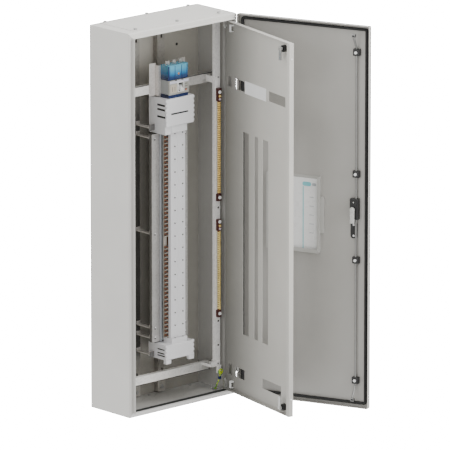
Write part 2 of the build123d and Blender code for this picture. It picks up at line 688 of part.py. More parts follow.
def outer_hinges(skin):
    """Lift-off hinges: the frame leaf carries the pin, and the door leaf turns on it."""
    px, py = OUTER_PIVOT
    frame_leaves, door_leaves, pins = [], [], []
    for height in HINGE_HEIGHTS:
        low = (height - HINGE_KNUCKLE, height - 0.25)
        high = (height + 0.25, height + HINGE_KNUCKLE)
        frame = joined([
            block((283, 297), (-2, 0), low),
            block((294.5, 298), (py, 0), low),
            bar_z(HINGE_RADIUS, px, py, low),
        ])
        frame_leaves.append(cut(frame, [bar_z(HINGE_PIN_RADIUS, px, py, low)]))
        door = joined([
            block((296, WIDTH / 2 - SHEET), (skin + 4, py), high),
            bar_z(HINGE_RADIUS, px, py, high),
        ])
        bore = bar_z(HINGE_PIN_RADIUS + 0.05, px, py, (low[1], high[1] + 1))
        door_leaves.append(cut(door, [bore]))
        pins.append(bar_z(HINGE_PIN_RADIUS, px, py, (low[0], high[1] - 2)))
    save("outer_hinge_frame_halves", frame_leaves + pins)
    save("outer_hinge_door_halves", door_leaves, OUTER)


def lock_rod(upwards):
    """A round rod that runs up from the lock and leans inwards at its end."""
    sign = 1 if upwards else -1
    start = LOCK_Z + sign * ROD_END_GAP
    tip = HEIGHT - ROD_TIP_INSET if upwards else ROD_TIP_INSET
    bend = HEIGHT - ROD_BEND_INSET if upwards else ROD_BEND_INSET
    route = [(ROD_X, ROD_Y, start), (ROD_X, ROD_Y, bend), (ROD_X, ROD_TIP_Y, tip - sign * 12),
             (ROD_X, ROD_TIP_Y, tip + sign * 5)]
    path = FilletPolyline(*[Vector(*p) for p in route], radius=[14, 10])
    rod = sweep(Plane(origin=path @ 0, z_dir=path % 0) * Circle(ROD_RADIUS), path)
    low, high = sorted((tip - sign * 8, tip + sign * 7))
    glide = block((ROD_X - 7, ROD_X + 7), (ROD_TIP_Y - 6.5, ROD_TIP_Y + 6.5), (low, high))
    glide = fillet(glide.edges().filter_by(Axis.X), 4)
    bore_z = sorted((tip - sign * 9, tip + sign * 5))
    return rod, cut(glide, [bar_z(ROD_RADIUS, ROD_X, ROD_TIP_Y, bore_z)])


def outer_lock(front, skin):
    for name, upwards in (("upper", True), ("lower", False)):
        rod, glide = lock_rod(upwards)
        save(f"{name}_lock_rod", [rod, glide], OUTER)
    guides, caps = [], []
    for inset in GUIDE_INSETS:
        for height in (inset, HEIGHT - inset):
            guide = block((ROD_X - 14, ROD_X + 14), (skin, ROD_Y + 8), (height - 14, height + 14))
            guide = fillet(guide.faces().sort_by(Axis.Y)[-1].edges(), 3)
            bore = bar_z(ROD_RADIUS + 0.08, ROD_X, ROD_Y, (height - 15, height + 15))
            guides.append(cut(guide, [bore]))
            caps.append(bar_y(5, ROD_X, (ROD_Y + 8, ROD_Y + 11), height))
    save("rod_guides", guides + caps, OUTER)

    case_x = (LOCK_X - 20, LOCK_X + 16)
    case_z = (LOCK_Z - 44, LOCK_Z + 44)
    wall = 3
    case = block(case_x, (skin, -5), case_z)
    case = fillet(case.faces().sort_by(Axis.Y)[-1].edges(), 2)
    cavity = block((case_x[0] + wall, case_x[1] - wall), (skin + 0.5, -5 - wall),
                   (case_z[0] + wall, case_z[1] - wall))
    rod_holes = bar_z(ROD_RADIUS + 0.08, ROD_X, ROD_Y, (case_z[0] - 1, case_z[1] + 1))
    spindle_hole = bar_y(SPINDLE_RADIUS + 0.05, LOCK_X, (front, 0), LOCK_Z)
    save("lock_case", cut(case, [cavity, rod_holes, spindle_hole]), OUTER)

    escutcheon = block((LOCK_X - 17, LOCK_X + 17), (front - 10, front), (715, 895))
    escutcheon = fillet(escutcheon.edges().filter_by(Axis.Y), 12)
    escutcheon = fillet(escutcheon.faces().sort_by(Axis.Y)[0].edges(), 2)
    spindle_bore = bar_y(SPINDLE_RADIUS + 0.05, LOCK_X, (front - 11, front + 1), LOCK_Z)
    save("handle_escutcheon", cut(escutcheon, [spindle_bore]), OUTER)
    counterplate = rounded(block((-240, -210), (skin, skin + 4), (722, 791)), 10)
    heads = [bar_y(4, -225, (skin + 4, skin + 6.5), h) for h in (733, 780)]
    save("handle_counterplate", [counterplate] + heads, OUTER)

    spindle = joined([bar_y(SPINDLE_RADIUS, LOCK_X, (front - 14, 9), LOCK_Z),
                      bar_y(10.5, LOCK_X, (-27, -22), LOCK_Z)])
    cam = joined([bar_y(11, LOCK_X, (3, 6), LOCK_Z),
                  block((LOCK_X - 10, LOCK_X + 10), (3, 6), (LOCK_Z - 58, LOCK_Z))])
    cam = cut(cam, [bar_y(SPINDLE_RADIUS, LOCK_X, (2, 7), LOCK_Z)])
    save("lock_spindle", [spindle, cam], OUTER)
    lever = block((LOCK_X - 14, LOCK_X + 128), (front - 26, front - 14), (LOCK_Z - 13, LOCK_Z + 13))
    lever = fillet(lever.edges().filter_by(Axis.Y), 12)
    lever = fillet(lever.faces().sort_by(Axis.Y)[0].edges(), 4)
    hub = bar_y(13, LOCK_X, (front - 14, front - 10.4), LOCK_Z)
    bore = bar_y(SPINDLE_RADIUS, LOCK_X, (front - 14, front), LOCK_Z)
    save("swing_handle", cut(joined([lever, hub]), [bore]), OUTER)


def document_pocket(skin):
    """Open-topped pocket on the inside of the door, with a card in it."""
    x = (-72, 168)
    z = (643, 968)
    wall = 2
    depth = 18
    outer = rounded(block(x, (skin, skin + depth), z), 4)
    hollow_z = (z[0] + wall, z[1] + 1)
    hollow = block((x[0] + wall, x[1] - wall), (skin + wall, skin + depth - wall), hollow_z)
    window = rounded(block((x[0] + 8, x[1] - 8), (skin + depth - wall - 1, skin + depth + 1),
                           (z[0] + 16, z[1] + 20)), 4)
    tab = block((-90, x[0]), (skin, skin + 6), (729, 883))
    tab = fillet(tab.edges().filter_by(Axis.Y).sort_by(Axis.X)[:2], 8)
    save("document_pocket", joined([cut(outer, [hollow, window]), tab]), OUTER)
    card_y = (skin + wall + 1, skin + wall + 4)
    save("document_card", block((x[0] + 6, x[1] - 6), card_y, (z[0] + wall, 957)), OUTER)


# ------------------------------------------------------------------ inner door
def inner_x(distance):
    """Place across the closed inner door, from its hinge edge."""
    return INNER_X[1] - distance


def inner_openings():
    """Openings of the inner door: (from hinge edge, from hinge edge, lowest, highest)."""
    half = BREAKER_SLOT / 2
    centre = INNER_X[1] - CHASSIS_X
    rows = [
        (centre - BREAKER_OFFSET - half, centre - BREAKER_OFFSET + half, *FINGER_Z),
        (centre - 11, centre + 20, *FINGER_Z),
        (centre + BREAKER_OFFSET - half, centre + BREAKER_OFFSET + half, *FINGER_Z),
    ]
    upper_z = (1321, 1364)
    lower_z = (88, 131)
    for near, far in ((20, 53), (80, 160), (164, 326), (350, 482)):
        rows.append((near, far, *upper_z))
    for near, far in ((25, 53), (82, 161), (300, 452)):
        rows.append((near, far, *lower_z))
    return rows


def inner_door():
    skin_y = (INNER_FRONT, INNER_FRONT + SHEET)
    y = (INNER_FRONT, INNER_FRONT + INNER_DEPTH)
    x, z = INNER_X, INNER_Z
    case = sheet_case(x, y, z, 2.5)
    inside_z = (z[0] + SHEET, z[1] - SHEET)
    hollow = block((x[0] + SHEET, x[1] - SHEET), (skin_y[1], y[1] + 1), inside_z)
    lip = block((x[0] + 0.5, x[0] + INNER_LIP), (y[1] - SHEET, y[1]), inside_z)
    low_edge = block((x[1] - SHEET - 0.5, x[1] + 1), (y[0] + INNER_HINGE_EDGE, y[1] + 1), inside_z)
    cuts = [low_edge]
    for near, far, low, high in inner_openings():
        cuts.append(block((inner_x(far), inner_x(near)), (y[0] - 1, skin_y[1] + 1), (low, high)))
    for height in inner_lock_heights():
        cuts.append(bar_y(9, INNER_LOCK_X, (y[0] - 1, skin_y[1] + 1), height))
    px, py = INNER_PIVOT
    cuts.append(bar_z(INNER_PIN_RADIUS, px, py, (0, HEIGHT)))
    save("inner_door_panel", cut(joined([cut(case, [hollow]), lip]), cuts), INNER)
    plate = block((inner_x(330), inner_x(162.5)), (skin_y[1], skin_y[1] + 2), (1316, 1369))
    save("switch_window_plate", plate, INNER)
    inner_hinges(skin_y[1])
    inner_locks(skin_y[1])
    buffers = [bar_x(4, (x[0] - 2.5, x[0]), INNER_FRONT + 11, h) for h in (99, HEIGHT - 92)]
    hooks = []
    for height in (50, HEIGHT - 56):
        ring = cut(block((204, 216), (skin_y[1], skin_y[1] + 14), (height - 15, height + 15)),
                   [block((203, 217), (skin_y[1] - 1, skin_y[1] + 12), (height - 13, height + 9))])
        hooks.append(ring)
    save("inner_door_fittings", buffers + hooks, INNER)


def inner_lock_heights():
    return (INNER_LOCK_INSET, HEIGHT - INNER_LOCK_INSET - 7)


def inner_hinges(skin):
    """Pins in the door's top and bottom edges, turning in brackets on the side wall."""
    px, py = INNER_PIVOT
    wall = WIDTH / 2 - SHEET
    y = (27, 47)
    pins, guides, brackets = [], [], []
    for sign, edge in ((1, INNER_Z[1]), (-1, INNER_Z[0])):
        def up(low, high):
            return tuple(sorted((edge + sign * low, edge + sign * high)))
        pins.append(bar_z(INNER_PIN_RADIUS, px, py, up(-40, 4.4)))
        guide = block((px - 6, px + 4.5), (skin, py + 6), up(-34, -SHEET))
        guides.append(cut(guide, [bar_z(INNER_PIN_RADIUS, px, py, up(-50, 5))]))
        tongue = block((px - 9, wall), y, up(1.5, 4.5))
        leaf = block((wall - 2, wall), y, up(-45, 1.5))
        bore = bar_z(INNER_PIN_RADIUS + 0.05, px, py, up(0, 6))
        brackets.append(cut(joined([tongue, leaf]), [bore]))
    save("inner_hinge_pins", pins + guides, INNER)
    save("inner_hinge_brackets", brackets)


def inner_locks(skin):
    """Quarter-turn locks whose cams close behind strikes on the left wall."""
    front = INNER_FRONT
    bodies, nuts, strikes = [], [], []
    for name, height, way in zip(("lower", "upper"), inner_lock_heights(), (1, -1)):
        body = joined([bar_y(14, INNER_LOCK_X, (front - 3, front), height),
                       bar_y(9, INNER_LOCK_X, (front, 53), height)])
        bodies.append(cut(body, [bar_y(4.05, INNER_LOCK_X, (front - 4, 54), height)]))
        nuts.append(cut(bar_y(14.5, INNER_LOCK_X, (skin, 48), height),
                        [bar_y(9, INNER_LOCK_X, (skin - 1, 49), height)]))
        cam_z = sorted((height - way * 9, height + way * CAM_LENGTH))
        cam = block((INNER_LOCK_X - 9, INNER_LOCK_X + 9), (57, 60), cam_z)
        cam = fillet(cam.edges().filter_by(Axis.Y), 5)
        turning = joined([cam, bar_y(4, INNER_LOCK_X, (front - 1.5, 57), height),
                          hexagon_y(6.5, INNER_LOCK_X, (60, 64), height)])
        slot_z = (height - 0.6, height + 0.6)
        slot = block((INNER_LOCK_X - 3, INNER_LOCK_X + 3), (front - 2, front + 3), slot_z)
        save(f"{name}_quarter_turn_cam", cut(turning, [slot]), INNER)
        z = (height - 15, height + 15)
        strikes.append(joined([block((-294.5, -279), (SHEET, SHEET + 2), z),
                               block((-281, -279), (SHEET, 56), z),
                               block((-281, -250), (54, 56), z)]))
    save("quarter_turn_bodies", bodies + nuts, INNER)
    save("quarter_turn_strikes", strikes)


os.makedirs("parts", exist_ok=True)
carcass()
entry_plates()
rear_rails()
cross_rails()
depth_bars()
chassis_pan()
frame_screws()
busbars()
busbar_base()
busbar_cover()
shrouds()
main_switch()
accessory_rail()
terminal_bars()
earth_connection()
outer_door()
inner_door()
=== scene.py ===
import json
import math

import bmesh
import bpy
from mathutils import Matrix, Vector


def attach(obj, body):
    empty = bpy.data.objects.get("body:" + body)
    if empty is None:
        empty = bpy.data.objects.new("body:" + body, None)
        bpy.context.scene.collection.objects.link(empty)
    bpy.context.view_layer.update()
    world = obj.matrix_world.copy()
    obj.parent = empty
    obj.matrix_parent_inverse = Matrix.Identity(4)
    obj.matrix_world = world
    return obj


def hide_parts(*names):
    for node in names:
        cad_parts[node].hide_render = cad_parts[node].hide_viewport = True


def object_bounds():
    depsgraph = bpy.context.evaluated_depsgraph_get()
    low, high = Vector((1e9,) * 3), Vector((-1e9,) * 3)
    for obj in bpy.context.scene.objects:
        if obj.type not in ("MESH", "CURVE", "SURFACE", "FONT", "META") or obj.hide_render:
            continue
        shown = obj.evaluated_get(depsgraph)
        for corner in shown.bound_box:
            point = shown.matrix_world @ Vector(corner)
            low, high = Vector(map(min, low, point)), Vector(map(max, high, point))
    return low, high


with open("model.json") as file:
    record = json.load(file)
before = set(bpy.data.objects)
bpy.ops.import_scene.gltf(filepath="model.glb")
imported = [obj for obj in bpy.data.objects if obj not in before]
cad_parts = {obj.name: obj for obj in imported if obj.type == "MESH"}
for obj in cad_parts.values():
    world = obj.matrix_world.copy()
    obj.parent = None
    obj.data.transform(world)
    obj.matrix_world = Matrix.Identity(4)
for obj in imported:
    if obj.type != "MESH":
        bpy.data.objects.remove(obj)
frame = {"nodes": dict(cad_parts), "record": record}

# The looks of a switchboard cabinet. Pieces are drawn in millimetres, at places read from the
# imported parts. What sits on a door is drawn with the door shut and then swung with it.

CAD_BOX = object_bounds()
MM = 0.001
SAME_POINT = 1e-6
RECORD = frame["record"]
NO_MOVE = Matrix.Identity(4)


# ------------------------------------------------------------------ places
def joint(name):
    return next(j for j in RECORD["behaviour"]["joints"] if j["name"] == name)


def swing_open(name):
    """The move that takes a door from shut to where it stands open."""
    hinge = joint(name)
    pivot = Vector(hinge["pos_m"]) / MM
    turn = Matrix.Rotation(math.radians(-hinge["range_deg"][0]), 4, "Z")
    return Matrix.Translation(pivot) @ turn @ Matrix.Translation(-pivot)


OUTER = swing_open("outer_door_swing")
INNER = swing_open("inner_door_swing")


def corners(points):
    """Lowest and highest corners of the box round some points."""
    return (Vector([min(p[k] for p in points) for k in range(3)]),
            Vector([max(p[k] for p in points) for k in range(3)]))


def place_of(node, move=NO_MOVE):
    """Lowest and highest corners of a CAD node in millimetres, with its door shut if one is named."""
    back = move.inverted()
    return corners([back @ (v.co / MM) for v in frame["nodes"][node].data.vertices])


def solids_of(node, move=NO_MOVE):
    """Lowest and highest corners of each separate solid of a node, from the lowest up."""
    bm = bmesh.new()
    bm.from_mesh(frame["nodes"][node].data)
    bmesh.ops.remove_doubles(bm, verts=bm.verts, dist=SAME_POINT)
    back = move.inverted()
    found, seen = [], set()
    for start in bm.verts:
        if start in seen:
            continue
        stack, points = [start], []
        seen.add(start)
        while stack:
            vert = stack.pop()
            points.append(back @ (vert.co / MM))
            for edge in vert.link_edges:
                other = edge.other_vert(vert)
                if other not in seen:
                    seen.add(other)
                    stack.append(other)
        found.append(corners(points))
    bm.free()
    return sorted(found, key=lambda box: (round(box[0].z, 2), round(box[0].x, 2)))


# ------------------------------------------------------------------ shapes
SHARP_DEGREES = 35


def add_box(bm, x, y, z, bevel=0.0, steps=2):
    """A box between two values on each axis, with rounded edges."""
    size = Matrix.Diagonal((abs(x[1] - x[0]), abs(y[1] - y[0]), abs(z[1] - z[0]), 1))
    middle = Matrix.Translation(((x[0] + x[1]) / 2, (y[0] + y[1]) / 2, (z[0] + z[1]) / 2))
    made = bmesh.ops.create_cube(bm, size=1, matrix=middle @ size)
    if bevel:
        edges = list({e for v in made["verts"] for e in v.link_edges})
        bmesh.ops.bevel(bm, geom=edges, offset=bevel, segments=steps, affect="EDGES", profile=0.5)


def add_lathe(bm, centre, axis, profile, steps=24):
    """A turned shape: profile is (radius, distance along axis), closed at both ends."""
    along = Vector(axis).normalized()
    side = along.orthogonal().normalized()
    other = along.cross(side)
    rings = []
    for radius, distance in profile:
        middle = Vector(centre) + along * distance
        if radius == 0:
            rings.append([bm.verts.new(middle)])
            continue
        ring = []
        for k in range(steps):
            angle = 2 * math.pi * k / steps
            spoke = side * math.cos(angle) + other * math.sin(angle)
            ring.append(bm.verts.new(middle + spoke * radius))
        rings.append(ring)
    for near, far in zip(rings, rings[1:]):
        for k in range(steps):
            n = (k + 1) % steps
            if len(near) == 1 and len(far) > 1:
                bm.faces.new((near[0], far[k], far[n]))
            elif len(far) == 1 and len(near) > 1:
                bm.faces.new((near[k], near[n], far[0]))
            elif len(near) > 1 and len(far) > 1:
                bm.faces.new((near[k], near[n], far[n], far[k]))
    if len(rings[0]) > 1:
        bm.faces.new(list(reversed(rings[0])))
    if len(rings[-1]) > 1:
        bm.faces.new(rings[-1])


def rounded_outline(x, z, radius, steps=6):
    """Points round a rectangle with rounded corners, in X and Z."""
    corners = [(x[1] - radius, z[1] - radius, 0), (x[0] + radius, z[1] - radius, 90),
               (x[0] + radius, z[0] + radius, 180), (x[1] - radius, z[0] + radius, 270)]
    points = []
    for cx, cz, start in corners:
        for k in range(steps + 1):
            angle = math.radians(start + 90 * k / steps)
            points.append((cx + radius * math.cos(angle), cz + radius * math.sin(angle)))
    return points


def add_plate(bm, x, y, z, radius, edge=0.0):
    """A plate facing the front with rounded corners and a softened front edge."""
    outline = rounded_outline(x, z, radius)
    levels = [(outline, y[1]), (outline, y[0] + edge)]
    if edge:
        inner = rounded_outline((x[0] + edge, x[1] - edge), (z[0] + edge, z[1] - edge),
                                max(radius - edge, 0.1))
        levels.append((inner, y[0]))
    rings = [[bm.verts.new((px, level, pz)) for px, pz in points] for points, level in levels]
    bridge(bm, rings)
    bm.faces.new(rings[0])
    bm.faces.new(list(reversed(rings[-1])))


def bridge(bm, rings):
    """Joins rings of the same number of points with faces."""
    count = len(rings[0])
    for near, far in zip(rings, rings[1:]):
        for k in range(count):
            n = (k + 1) % count
            bm.faces.new((near[k], near[n], far[n], far[k]))


def add_frame(bm, x, z, radius, section):
    """A closed frame: section is a list of (inset from the outline, depth) round its cross-section."""
    rings = []
    for inset, depth in section:
        outline = rounded_outline((x[0] + inset, x[1] - inset), (z[0] + inset, z[1] - inset),
                                  max(radius - inset, 0.5))
        rings.append([bm.verts.new((px, depth, pz)) for px, pz in outline])
    bridge(bm, rings + rings[:1])


def piece(name, body, finish, draw, move=NO_MOVE, stands_for=()):
    """A named mesh piece that rides on a body. draw(bm) fills it, in millimetres."""
    bm = bmesh.new()
    draw(bm)
    bmesh.ops.recalc_face_normals(bm, faces=bm.faces)
    bmesh.ops.transform(bm, matrix=Matrix.Scale(MM, 4) @ move, verts=bm.verts)
    mesh = bpy.data.meshes.new(name)
    bm.to_mesh(mesh)
    bm.free()
    obj = bpy.data.objects.new(name, mesh)
    bpy.context.scene.collection.objects.link(obj)
    for polygon in mesh.polygons:
        polygon.use_smooth = True
    mesh.set_sharp_from_angle(angle=math.radians(SHARP_DEGREES))
    mesh.materials.append(finish)
    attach(obj, body)
    if stands_for:
        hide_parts(*stands_for)


# ------------------------------------------------------------------ materials
# A mix node's colour sockets go by number, since its socket names repeat.
MIX_FIRST, MIX_SECOND, MIX_RESULT = 6, 7, 2


class Finish:
    """A node material built up from noise, bands and bump in the object's own coordinates."""

    def __init__(self, name, colour, rough=0.5, metal=0.0, coat=0.0):
        self.made = bpy.data.materials.new(name)
        self.made.use_nodes = True
        self.tree = self.made.node_tree
        self.shader = self.tree.nodes["Principled BSDF"]
        self.shader.inputs["Base Color"].default_value = (*colour, 1)
        self.shader.inputs["Roughness"].default_value = rough
        self.shader.inputs["Metallic"].default_value = metal
        self.shader.inputs["Coat Weight"].default_value = coat
        self.colour = colour
        self.where = self.node("ShaderNodeTexCoord").outputs["Object"]
        self.normal = None

    def node(self, kind):
        return self.tree.nodes.new(kind)

    def link(self, source, target):
        self.tree.links.new(source, target)

    def stretched(self, scale):
        """The object's coordinates, squeezed along each axis by scale."""
        mapping = self.node("ShaderNodeMapping")
        mapping.inputs["Scale"].default_value = scale
        self.link(self.where, mapping.inputs["Vector"])
        return mapping.outputs["Vector"]

    def noise(self, scale, detail=4.0, where=None):
        texture = self.node("ShaderNodeTexNoise")
        texture.inputs["Scale"].default_value = scale
        texture.inputs["Detail"].default_value = detail
        self.link(where or self.where, texture.inputs["Vector"])
        return texture.outputs["Fac"]

    def ramp(self, source, stops):
        """A colour ramp on source: stops are (position, (r, g, b))."""
        ramp = self.node("ShaderNodeValToRGB")
        elements = ramp.color_ramp.elements
        elements[0].position, elements[1].position = stops[0][0], stops[-1][0]
        elements[0].color, elements[1].color = (*stops[0][1], 1), (*stops[-1][1], 1)
        for position, colour in stops[1:-1]:
            elements.new(position).color = (*colour, 1)
        self.link(source, ramp.inputs["Fac"])
        return ramp.outputs["Color"]

    def tint(self, source, amount, around=0.5, spread=0.22):
        """The base colour, lighter and darker by amount where source varies."""
        dark = tuple(c * (1 - amount) for c in self.colour)
        light = tuple(min(c * (1 + amount), 1) for c in self.colour)
        result = self.ramp(source, [(around - spread, dark), (around + spread, light)])
        self.link(result, self.shader.inputs["Base Color"])

    def shade(self, origin, direction, stops):
        """Painted shade: darkens the base colour along a direction. Stops are (metres from origin, factor).
        """
        offset = self.node("ShaderNodeVectorMath")
        offset.operation = "SUBTRACT"
        self.link(self.where, offset.inputs[0])
        offset.inputs[1].default_value = origin
        along = self.node("ShaderNodeVectorMath")
        along.operation = "DOT_PRODUCT"
        self.link(offset.outputs["Vector"], along.inputs[0])
        along.inputs[1].default_value = direction
        first, last = stops[0][0], stops[-1][0]
        spread = self.node("ShaderNodeMapRange")
        spread.inputs["From Min"].default_value = first
        spread.inputs["From Max"].default_value = last
        self.link(along.outputs["Value"], spread.inputs["Value"])
        greys = [((place - first) / (last - first), (factor,) * 3) for place, factor in stops]
        shades = self.ramp(spread.outputs["Result"], greys)
        product = self.node("ShaderNodeMix")
        product.data_type = "RGBA"
        product.blend_type = "MULTIPLY"
        product.inputs["Factor"].default_value = 1.0
        base = self.shader.inputs["Base Color"]
        self.link(base.links[0].from_socket, product.inputs[MIX_FIRST])
        self.link(shades, product.inputs[MIX_SECOND])
        self.link(product.outputs[MIX_RESULT], base)

    def rough(self, source, low, high):
        """Roughness from low to high where source varies."""
        spread = self.node("ShaderNodeMapRange")
        spread.inputs["From Min"].default_value = 0.3
        spread.inputs["From Max"].default_value = 0.7
        spread.inputs["To Min"].default_value = low
        spread.inputs["To Max"].default_value = high
        self.link(source, spread.inputs["Value"])
        self.link(spread.outputs["Result"], self.shader.inputs["Roughness"])

    def bump(self, source, depth):
        """A relief of depth metres, on top of the relief that is already there."""
        bump = self.node("ShaderNodeBump")
        bump.inputs["Distance"].default_value = depth
        bump.inputs["Strength"].default_value = 1.0
        self.link(source, bump.inputs["Height"])
        if self.normal:
            self.link(self.normal, bump.inputs["Normal"])
        self.normal = bump.outputs["Normal"]
        self.link(self.normal, self.shader.inputs["Normal"])

    def soft_edges(self, radius):
        """Edges that catch the light as if they were rounded by radius metres."""
        bevel = self.node("ShaderNodeBevel")
        bevel.samples = 4
        bevel.inputs["Radius"].default_value = radius
        self.normal = bevel.outputs["Normal"]
        self.link(self.normal, self.shader.inputs["Normal"])


def powder_coat(name, colour, rough=0.42, shades=()):
    """Baked powder: an even colour with faint drifts, orange peel and a fine grain, darkened by painted
    shade along the given directions.
    """
    coat = Finish(name, colour, rough)
    coat.soft_edges(0.0008)
    coat.tint(coat.noise(5, 3), 0.035)
    # painted shade: each entry darkens the colour along a direction
    for origin, direction, stops in shades:
        coat.shade(origin, direction, stops)
    coat.rough(coat.noise(14, 5), rough - 0.05, rough + 0.08)
    coat.bump(coat.noise(420, 2), 0.00006)
    coat.bump(coat.noise(2600, 2), 0.00002)
    return coat.made


def galvanised(name, colour, rough=0.42, shades=(), metal=0.55):
    """Pre-galvanised sheet: dull metal with faint crystals and drawn streaks, darkened by painted shade
    along the given directions.
    """
    sheet = Finish(name, colour, rough, metal)
    sheet.soft_edges(0.0005)
    crystals = sheet.node("ShaderNodeTexVoronoi")
    crystals.inputs["Scale"].default_value = 110
    sheet.link(sheet.where, crystals.inputs["Vector"])
    sheet.tint(crystals.outputs["Distance"], 0.06, around=0.45)
    # painted shade: each entry darkens the colour along a direction
    for origin, direction, stops in shades:
        sheet.shade(origin, direction, stops)
    sheet.rough(sheet.noise(35, 4), rough - 0.08, rough + 0.12)
    sheet.bump(sheet.noise(60, 3, sheet.stretched((20, 20, 1))), 0.00003)
    return sheet.made


def bright_zinc(name, colour=(0.62, 0.62, 0.60), rough=0.28):
    """Bright zinc plate on small hardware."""
    plate = Finish(name, colour, rough, metal=0.9)
    plate.soft_edges(0.0004)
    plate.tint(plate.noise(160, 4), 0.08)
    plate.rough(plate.noise(240, 4), rough - 0.06, rough + 0.15)
    plate.bump(plate.noise(900, 3), 0.00002)
    return plate.made


def moulded(name, colour, rough=0.42, grain=1500, variation=0.02):
    """Moulded plastic with a fine spark-eroded grain."""
    plastic = Finish(name, colour, rough)
    plastic.soft_edges(0.0005)
    plastic.tint(plastic.noise(18, 3), variation)
    plastic.rough(plastic.noise(60, 4), rough - 0.06, rough + 0.07)
    plastic.bump(plastic.noise(grain, 2), 0.00003)
    return plastic.made


def turned_brass(name, colour, rough=0.3, metal_share=0.3):
    """Bare brass or copper, brushed, with darker tarnish in patches."""
    metal = Finish(name, colour, rough, metal=metal_share)
    metal.soft_edges(0.0004)
    metal.tint(metal.noise(70, 5), 0.22)
    metal.rough(metal.noise(120, 5), rough - 0.08, rough + 0.2)
    metal.bump(metal.noise(300, 3, metal.stretched((6, 6, 1))), 0.00003)
    return metal.made


def foam_rubber(name):
    """Foamed seal: near black, dull and finely pitted."""
    foam_and_painted_shadow = Finish(name, (0.012, 0.012, 0.012), 0.85)
    foam_and_painted_shadow.tint(foam_and_painted_shadow.noise(90, 4), 0.35)
    pits = foam_and_painted_shadow.node("ShaderNodeTexVoronoi")
    pits.inputs["Scale"].default_value = 1100
    foam_and_painted_shadow.link(foam_and_painted_shadow.where, pits.inputs["Vector"])
    foam_and_painted_shadow.rough(foam_and_painted_shadow.noise(50, 3), 0.75, 0.92)
    foam_and_painted_shadow.bump(pits.outputs["Distance"], 0.00012)
    return foam_and_painted_shadow.made


def switch_blue(name, left, low, high):
    """Translucent blue cover, turquoise at the top and navy at the bottom, with painted shade on its left
    side face.
    """
    cover = Finish(name, (0.05, 0.25, 0.5), 0.2, coat=0.3)
    cover.soft_edges(0.0008)
    split = cover.node("ShaderNodeSeparateXYZ")
    cover.link(cover.where, split.inputs["Vector"])
    height = cover.node("ShaderNodeMapRange")
    height.inputs["From Min"].default_value = low
    height.inputs["From Max"].default_value = high
    cover.link(split.outputs["Z"], height.inputs["Value"])
    drift = cover.node("ShaderNodeMath")
    drift.operation = "MULTIPLY_ADD"
    cover.link(cover.noise(22, 3), drift.inputs[0])
    drift.inputs[1].default_value = 0.35
    cover.link(height.outputs["Result"], drift.inputs[2])
    colours = cover.ramp(drift.outputs["Value"], [
        (0.16, (0.003, 0.016, 0.085)), (0.38, (0.004, 0.045, 0.15)),
        (0.62, (0.01, 0.19, 0.42)), (1.0, (0.09, 0.39, 0.56))])
    cover.link(colours, cover.shader.inputs["Base Color"])
    # painted shade: the left side face is darker than the front
    cover.shade((left, 0, 0), (1, 0, 0), [(-0.0002, 0.5), (0.0009, 0.62), (0.0012, 1.0)])
    cover.bump(cover.noise(40, 3), 0.0003)
    return cover.made


def earth_sheath(name):
    """Green and yellow cable sheath, in bands."""
    sheath = Finish(name, (0.5, 0.6, 0.03), 0.4)
    bands = sheath.node("ShaderNodeTexWave")
    bands.inputs["Scale"].default_value = 55
    bands.inputs["Distortion"].default_value = 1.5
    sheath.link(sheath.where, bands.inputs["Vector"])
    colours = sheath.ramp(bands.outputs["Fac"], [(0.45, (0.62, 0.66, 0.02)), (0.6, (0.06, 0.26, 0.03))])
    sheath.link(colours, sheath.shader.inputs["Base Color"])
    sheath.bump(sheath.noise(400, 2), 0.00005)
    return sheath.made


ORIGIN = (0, 0, 0)
RIGHTWARDS, UPWARDS, TO_WALL = (1, 0, 0), (0, 0, 1), (0, 1, 0)
WALL_X = CAD_BOX[0].x
CARCASS_FRONT = place_of("floor")[0].y * MM
CHASSIS_FRONT = place_of("chassis_pan")[0].y * MM
OUTER_PIVOT = tuple(joint("outer_door_swing")["pos_m"])
INNER_PIVOT = tuple(joint("inner_door_swing")["pos_m"])
OUTER_INWARDS = tuple(OUTER.to_3x3() @ Vector((0, 1, 0)))
INNER_ACROSS = tuple(INNER.to_3x3() @ Vector((-1, 0, 0)))

# painted shade: darker towards the bottom, so the entry plate on the cabinet floor is shaded and the roof is
# not
ROOF_COAT = powder_coat("roof_powder_coat", (0.65, 0.64, 0.605), shades=[
    (ORIGIN, UPWARDS, [(-0.5, 0.62), (0.5, 1.0)])])
# painted shade: the front flange keeps the full colour and the floor inside the cabinet is darkened
FLOOR_COAT = powder_coat("floor_powder_coat", (0.68, 0.67, 0.65), shades=[
    ((0, CARCASS_FRONT, 0), TO_WALL, [(0, 1.0), (0.0165, 1.0), (0.0185, 0.58), (0.25, 0.58)])])
# painted shade: full colour on the outer face, darker inwards from it
LEFT_COAT = powder_coat("left_wall_powder_coat", (0.57, 0.56, 0.53), shades=[
    ((WALL_X, 0, 0), RIGHTWARDS, [(0, 1.0), (0.0012, 0.80), (0.03, 0.74)])])
# painted shade: full colour on the outer face, darker inwards from it
RIGHT_COAT = powder_coat("right_wall_powder_coat", (0.57, 0.56, 0.53), shades=[
    ((-WALL_X, 0, 0), RIGHTWARDS, [(-0.03, 0.78), (-0.004, 0.66), (-0.0012, 0.66), (0, 1.0)])])
# painted shade: the door's recessed inner skin is darker than its rim and front
OUTER_COAT = powder_coat("outer_door_powder_coat", (0.63, 0.612, 0.57), shades=[
    (OUTER_PIVOT, OUTER_INWARDS, [(-0.0215, 0.88), (-0.0205, 0.55), (-0.012, 0.62), (0.004, 0.88)])])
